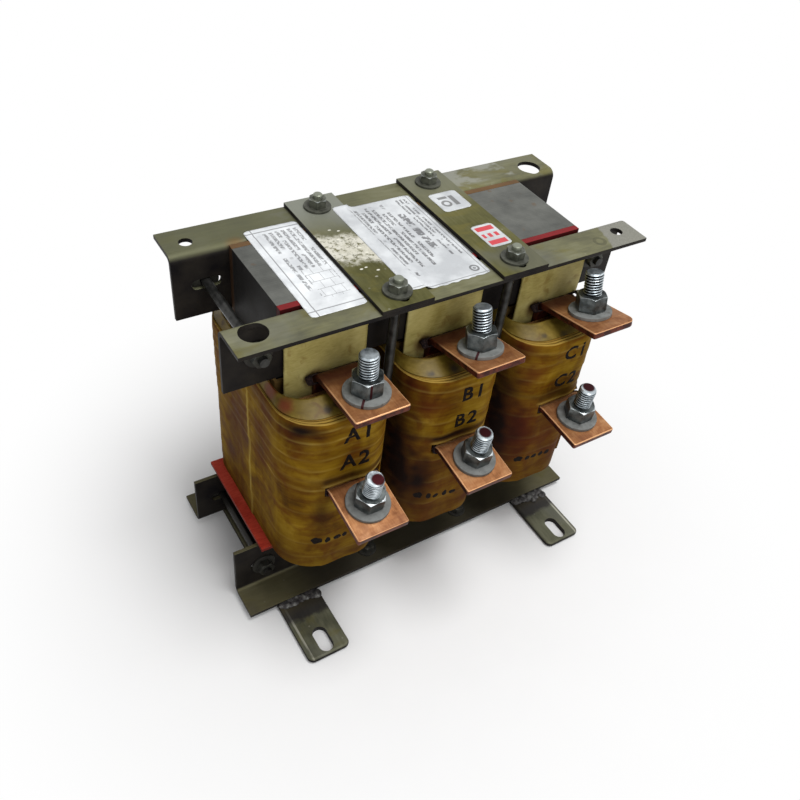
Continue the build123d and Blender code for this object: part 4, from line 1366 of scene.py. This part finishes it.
LACQUER = (54, 16, 20)
STRIPE_WIDTH = 1.3 * MM
STRIPE_REACH = 6 * MM
# Heights over which the rods' tops turn to their lighter colour, which is painted light
LIT_TOP_HEIGHTS = (269.0 * MM, 270.5 * MM)
LACQUER_REACH = 5.2 * MM
LACQUER_SHIFTS = ((1.1, -1.5), (0.3, 0.2), (0.9, 1.0))
LOW_TOPS = [
    (tuple(seat + axis * STUD_RISE + Vector((*shift, 0)) * MM), LACQUER_REACH)
    for (seat, axis), shift in zip(SEATS[3:], LACQUER_SHIFTS)
]
NUT_STRIPES = (((-0.0796, -0.0589, 0.2260), (0.955, -0.3, 0.0)),)
WASHER_STRIPES = (
    ((-0.0836, -0.0574, 0.2188), (0.76, -0.65, 0.0)), ((0.0001, -0.0560, 0.2225), (0.65, -0.76, 0.0)),
)
# Marks on the collars: the first row is painted shade at the mouths of the pockets round the upper leads, the other
# rows are stains.
COLLAR_STAINS_AND_SHADE = [
    ((x * MM, y * MM, z * MM), reach * MM, shade)
    for z, shade, spots in (
        (206, (44, 38, 34), ((-97.6, -41.3, 5), (-91, -40, 4), (-22.2, -40.5, 4.5), (-5, -42.7, 6),
                             (73.2, -41.9, 4), (88.9, -45.7, 6))),
        (207, (104, 42, 22), ((-121, -28, 8), (-123, -12, 9))),
        (207, (46, 26, 14), ((-124, 61, 3.4), (-128, 66, 3.4), (-124, 72, 3.4))),
    ) for x, y, reach in spots
]
# Painted shadows of the upper tabs, on the panels left of each lead's root.
PANEL_TAB_SHADOWS = [((x * MM, -14.7 * MM, 207 * MM), 11 * MM, (88, 52, 26)) for x in (-93, -12, 84)]

FINISHES = {made.name.split(".")[0]: made for made in (
    laminated_steel(),
    paper("gap_sheet", (150, 140, 110), (176, 166, 134), (196, 186, 150), (120, 104, 70)),
    red_laminate(),
    olive_steel("angle_steel", (84, 83, 66), (110, 109, 82), (128, 127, 104), extra=worn_flanges),
    olive_steel("strap_steel", (68, 67, 34), (90, 88, 52), (107, 105, 75), (1, 6, 1), scuffed_strap),
    olive_steel("foot_steel", (74, 74, 60), (98, 98, 80), (118, 118, 98), (1, 6, 1), foot_highlight_and_heat_tint),
    zinc("rod_zinc", (36, 36, 35), (66, 66, 64), (0.3, 0.42), 0.7, lit_top=(128, 132, 118)),
    zinc("small_hardware_zinc", (66, 68, 60), (104, 106, 95), (0.4, 0.55), 0.6, shade_below=0.258, glint=0.35),
    zinc("small_washer_zinc", (56, 57, 50), (84, 85, 76), (0.5, 0.7), 0.4, shade_below=0.258),
    zinc("terminal_bolt_zinc", (142, 152, 158), (206, 215, 220), (0.26, 0.38), marks=LOW_TOPS, root=(24, 27, 29)),
    zinc("terminal_nut_zinc", (58, 62, 62), (104, 110, 110), (0.3, 0.42), stripes=NUT_STRIPES, glint=0.8),
    zinc("terminal_washer_zinc", (100, 102, 100), (124, 126, 124), (0.6, 0.75), 0.2, stripes=WASHER_STRIPES),
    copper_bar(),
    foil_edges(),
    varnished_wrap(),
    paper("collar_paper", (80, 62, 18), (106, 88, 30), (130, 110, 48), (86, 54, 20), gloss=0.42, marks=COLLAR_STAINS_AND_SHADE),
    paper("panel_paper", (146, 132, 70), (178, 164, 98), (198, 186, 122), (132, 106, 50), 0.03, marks=PANEL_TAB_SHADOWS),
    paper("former_board", (96, 74, 40), (122, 96, 54), (140, 114, 68), (60, 44, 24)),
    paper("stick_board", (120, 96, 58), (146, 120, 76), (164, 138, 92), (80, 60, 32)),
    dark_sleeve(),
    ink_film(),
    weld_metal(),
    rating_paper(),
    diagram_paper(),
    white_sticker_paper(),
    red_sticker_paper(),
)}

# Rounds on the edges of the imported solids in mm, by material slot
EDGE_ROUNDS = {
    "angle_steel": 0.3, "strap_steel": 0.35, "foot_steel": 0.45, "copper": 0.7, "terminal_nut_zinc": 0.5,
    "terminal_washer_zinc": 0.3, "red_board": 0.3, "core_steel": 0.3, "small_hardware_zinc": 0.2,
    "small_washer_zinc": 0.2,
}


def dress_solids():
    """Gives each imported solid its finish, and its edges a small round."""
    for node in NODES.values():
        for slot in node.material_slots:
            slot_name = slot.material.name.split(".")[0]
            slot.material = FINISHES[slot_name]
            if slot_name in EDGE_ROUNDS:
                weld = node.modifiers.new("joined corners", "WELD")
                weld.merge_threshold = 1e-6
                bevel = node.modifiers.new("worn edges", "BEVEL")
                bevel.width = EDGE_ROUNDS[slot_name] * MM
                bevel.segments = 2
                bevel.limit_method = "ANGLE"
                bevel.angle_limit = math.radians(35)
                bevel.loop_slide = False
                bevel.use_clamp_overlap = slot_name != "copper"
                even = node.modifiers.new("even shading", "WEIGHTED_NORMAL")
                even.keep_sharp = False


# Studio


FLOOR_RADIUS = 4.0
FILL_LIGHT = 0.32

# Lamps: name, place and size in metres, power in watts
LAMPS = (
    ("overhead_lamp", (0.15, -0.2, 1.25), 0.6, 9.5),
    ("front_lamp", (-0.1, -1.2, 0.9), 0.9, 5.0),
)
LAMP_AIM = Vector((0, 0, 0.13))


def seen_directly(tree):
    """1 for rays from the camera, also by way of mirrors and clear pieces."""
    rays = add_node(tree, "ShaderNodeLightPath").outputs()
    return rays["Is Camera Ray"] | rays["Is Glossy Ray"] | rays["Is Transmission Ray"]


def studio_floor():
    """Pale floor that keeps the shadow near the reactor and runs out to white."""
    floor = Finish("studio_floor", Roughness=0.9, Specular_IOR_Level=0.1)
    fade = floor.rise(floor.distance((0.0, 0.0, 0.0)), 0.12, 0.36) * seen_directly(floor.tree)
    floor.colour = floor.mix(floor.noise(0.05), (246, 246, 246), (250, 250, 250))
    floor.done()
    glow = floor.add("Emission", {"Strength": 1.0})
    joined = floor.add("MixShader", {0: fade, 1: Signal(floor.tree, floor.shader.outputs[0]), 2: glow})
    floor.tree.links.new(joined.socket, floor.tree.nodes["Material Output"].inputs["Surface"])
    disc = bmesh.new()
    bmesh.ops.create_circle(disc, cap_ends=True, segments=96, radius=FLOOR_RADIUS)
    made = put("studio_floor", mesh_of("studio_floor", disc))
    made.data.materials.append(floor.material)


def studio_world():
    """White to the camera and to reflections, a soft grey for the fill light."""
    world = bpy.data.worlds.new("studio_world")
    world.use_nodes = True
    bpy.context.scene.world = world
    tree = world.node_tree
    tree.nodes.clear()
    fill, white = (
        add_node(tree, "ShaderNodeBackground", {"Color": rgb(255, 255, 255), "Strength": strength})
        for strength in (FILL_LIGHT, 1.0)
    )
    mixed = add_node(tree, "ShaderNodeMixShader", {0: seen_directly(tree), 1: fill, 2: white})
    tree.links.new(mixed.socket, tree.nodes.new("ShaderNodeOutputWorld").inputs["Surface"])


def hang_lamps():
    for name, place, size, power in LAMPS:
        lamp = bpy.data.lights.new(name, "AREA")
        lamp.shape = "DISK"
        lamp.size = size
        lamp.energy = power
        holder = put(name, lamp)
        holder.location = place
        holder.rotation_euler = (LAMP_AIM - Vector(place)).to_track_quat("-Z", "Y").to_euler()


# Camera, solved from the picture's straight edges: place in metres, turn in degrees, focal length in pixels
EYE = (-0.27653, -0.34768, 0.55070)
TURN = (45.754, -5.883, -31.750)
FRAME_PIXELS = 800
FOCAL_PIXELS = 812.64
CENTRE_PIXELS = (402.08, 412.18)
SENSOR = 36.0


def set_camera():
    camera = bpy.data.cameras.new("camera")
    camera.sensor_width = SENSOR
    camera.lens = FOCAL_PIXELS / FRAME_PIXELS * SENSOR
    camera.shift_x = (FRAME_PIXELS / 2 - CENTRE_PIXELS[0]) / FRAME_PIXELS
    camera.shift_y = (CENTRE_PIXELS[1] - FRAME_PIXELS / 2) / FRAME_PIXELS
    camera.clip_start = 0.01
    holder = put("camera", camera)
    holder.location = EYE
    holder.rotation_euler = [math.radians(angle) for angle in TURN]
    bpy.context.scene.camera = holder


dress_solids()
stamp_coils({coil: build_wrap(coil) for coil in COILS})
for coil_name in COILS:
    build_panel(coil_name)
build_sleeves("upper", SEATS[:3])
build_sleeves("lower", SEATS[3:])
grow_terminal_bolts()
grow_weld_beads()
top_target = tree_of([NODES[name] for name in TOP_NODES])
for label_row in LABELS:
    drape_label(*label_row, top_target)
studio_floor()
studio_world()
hang_lamps()
set_camera()
bpy.context.scene.view_settings.view_transform = "Standard"
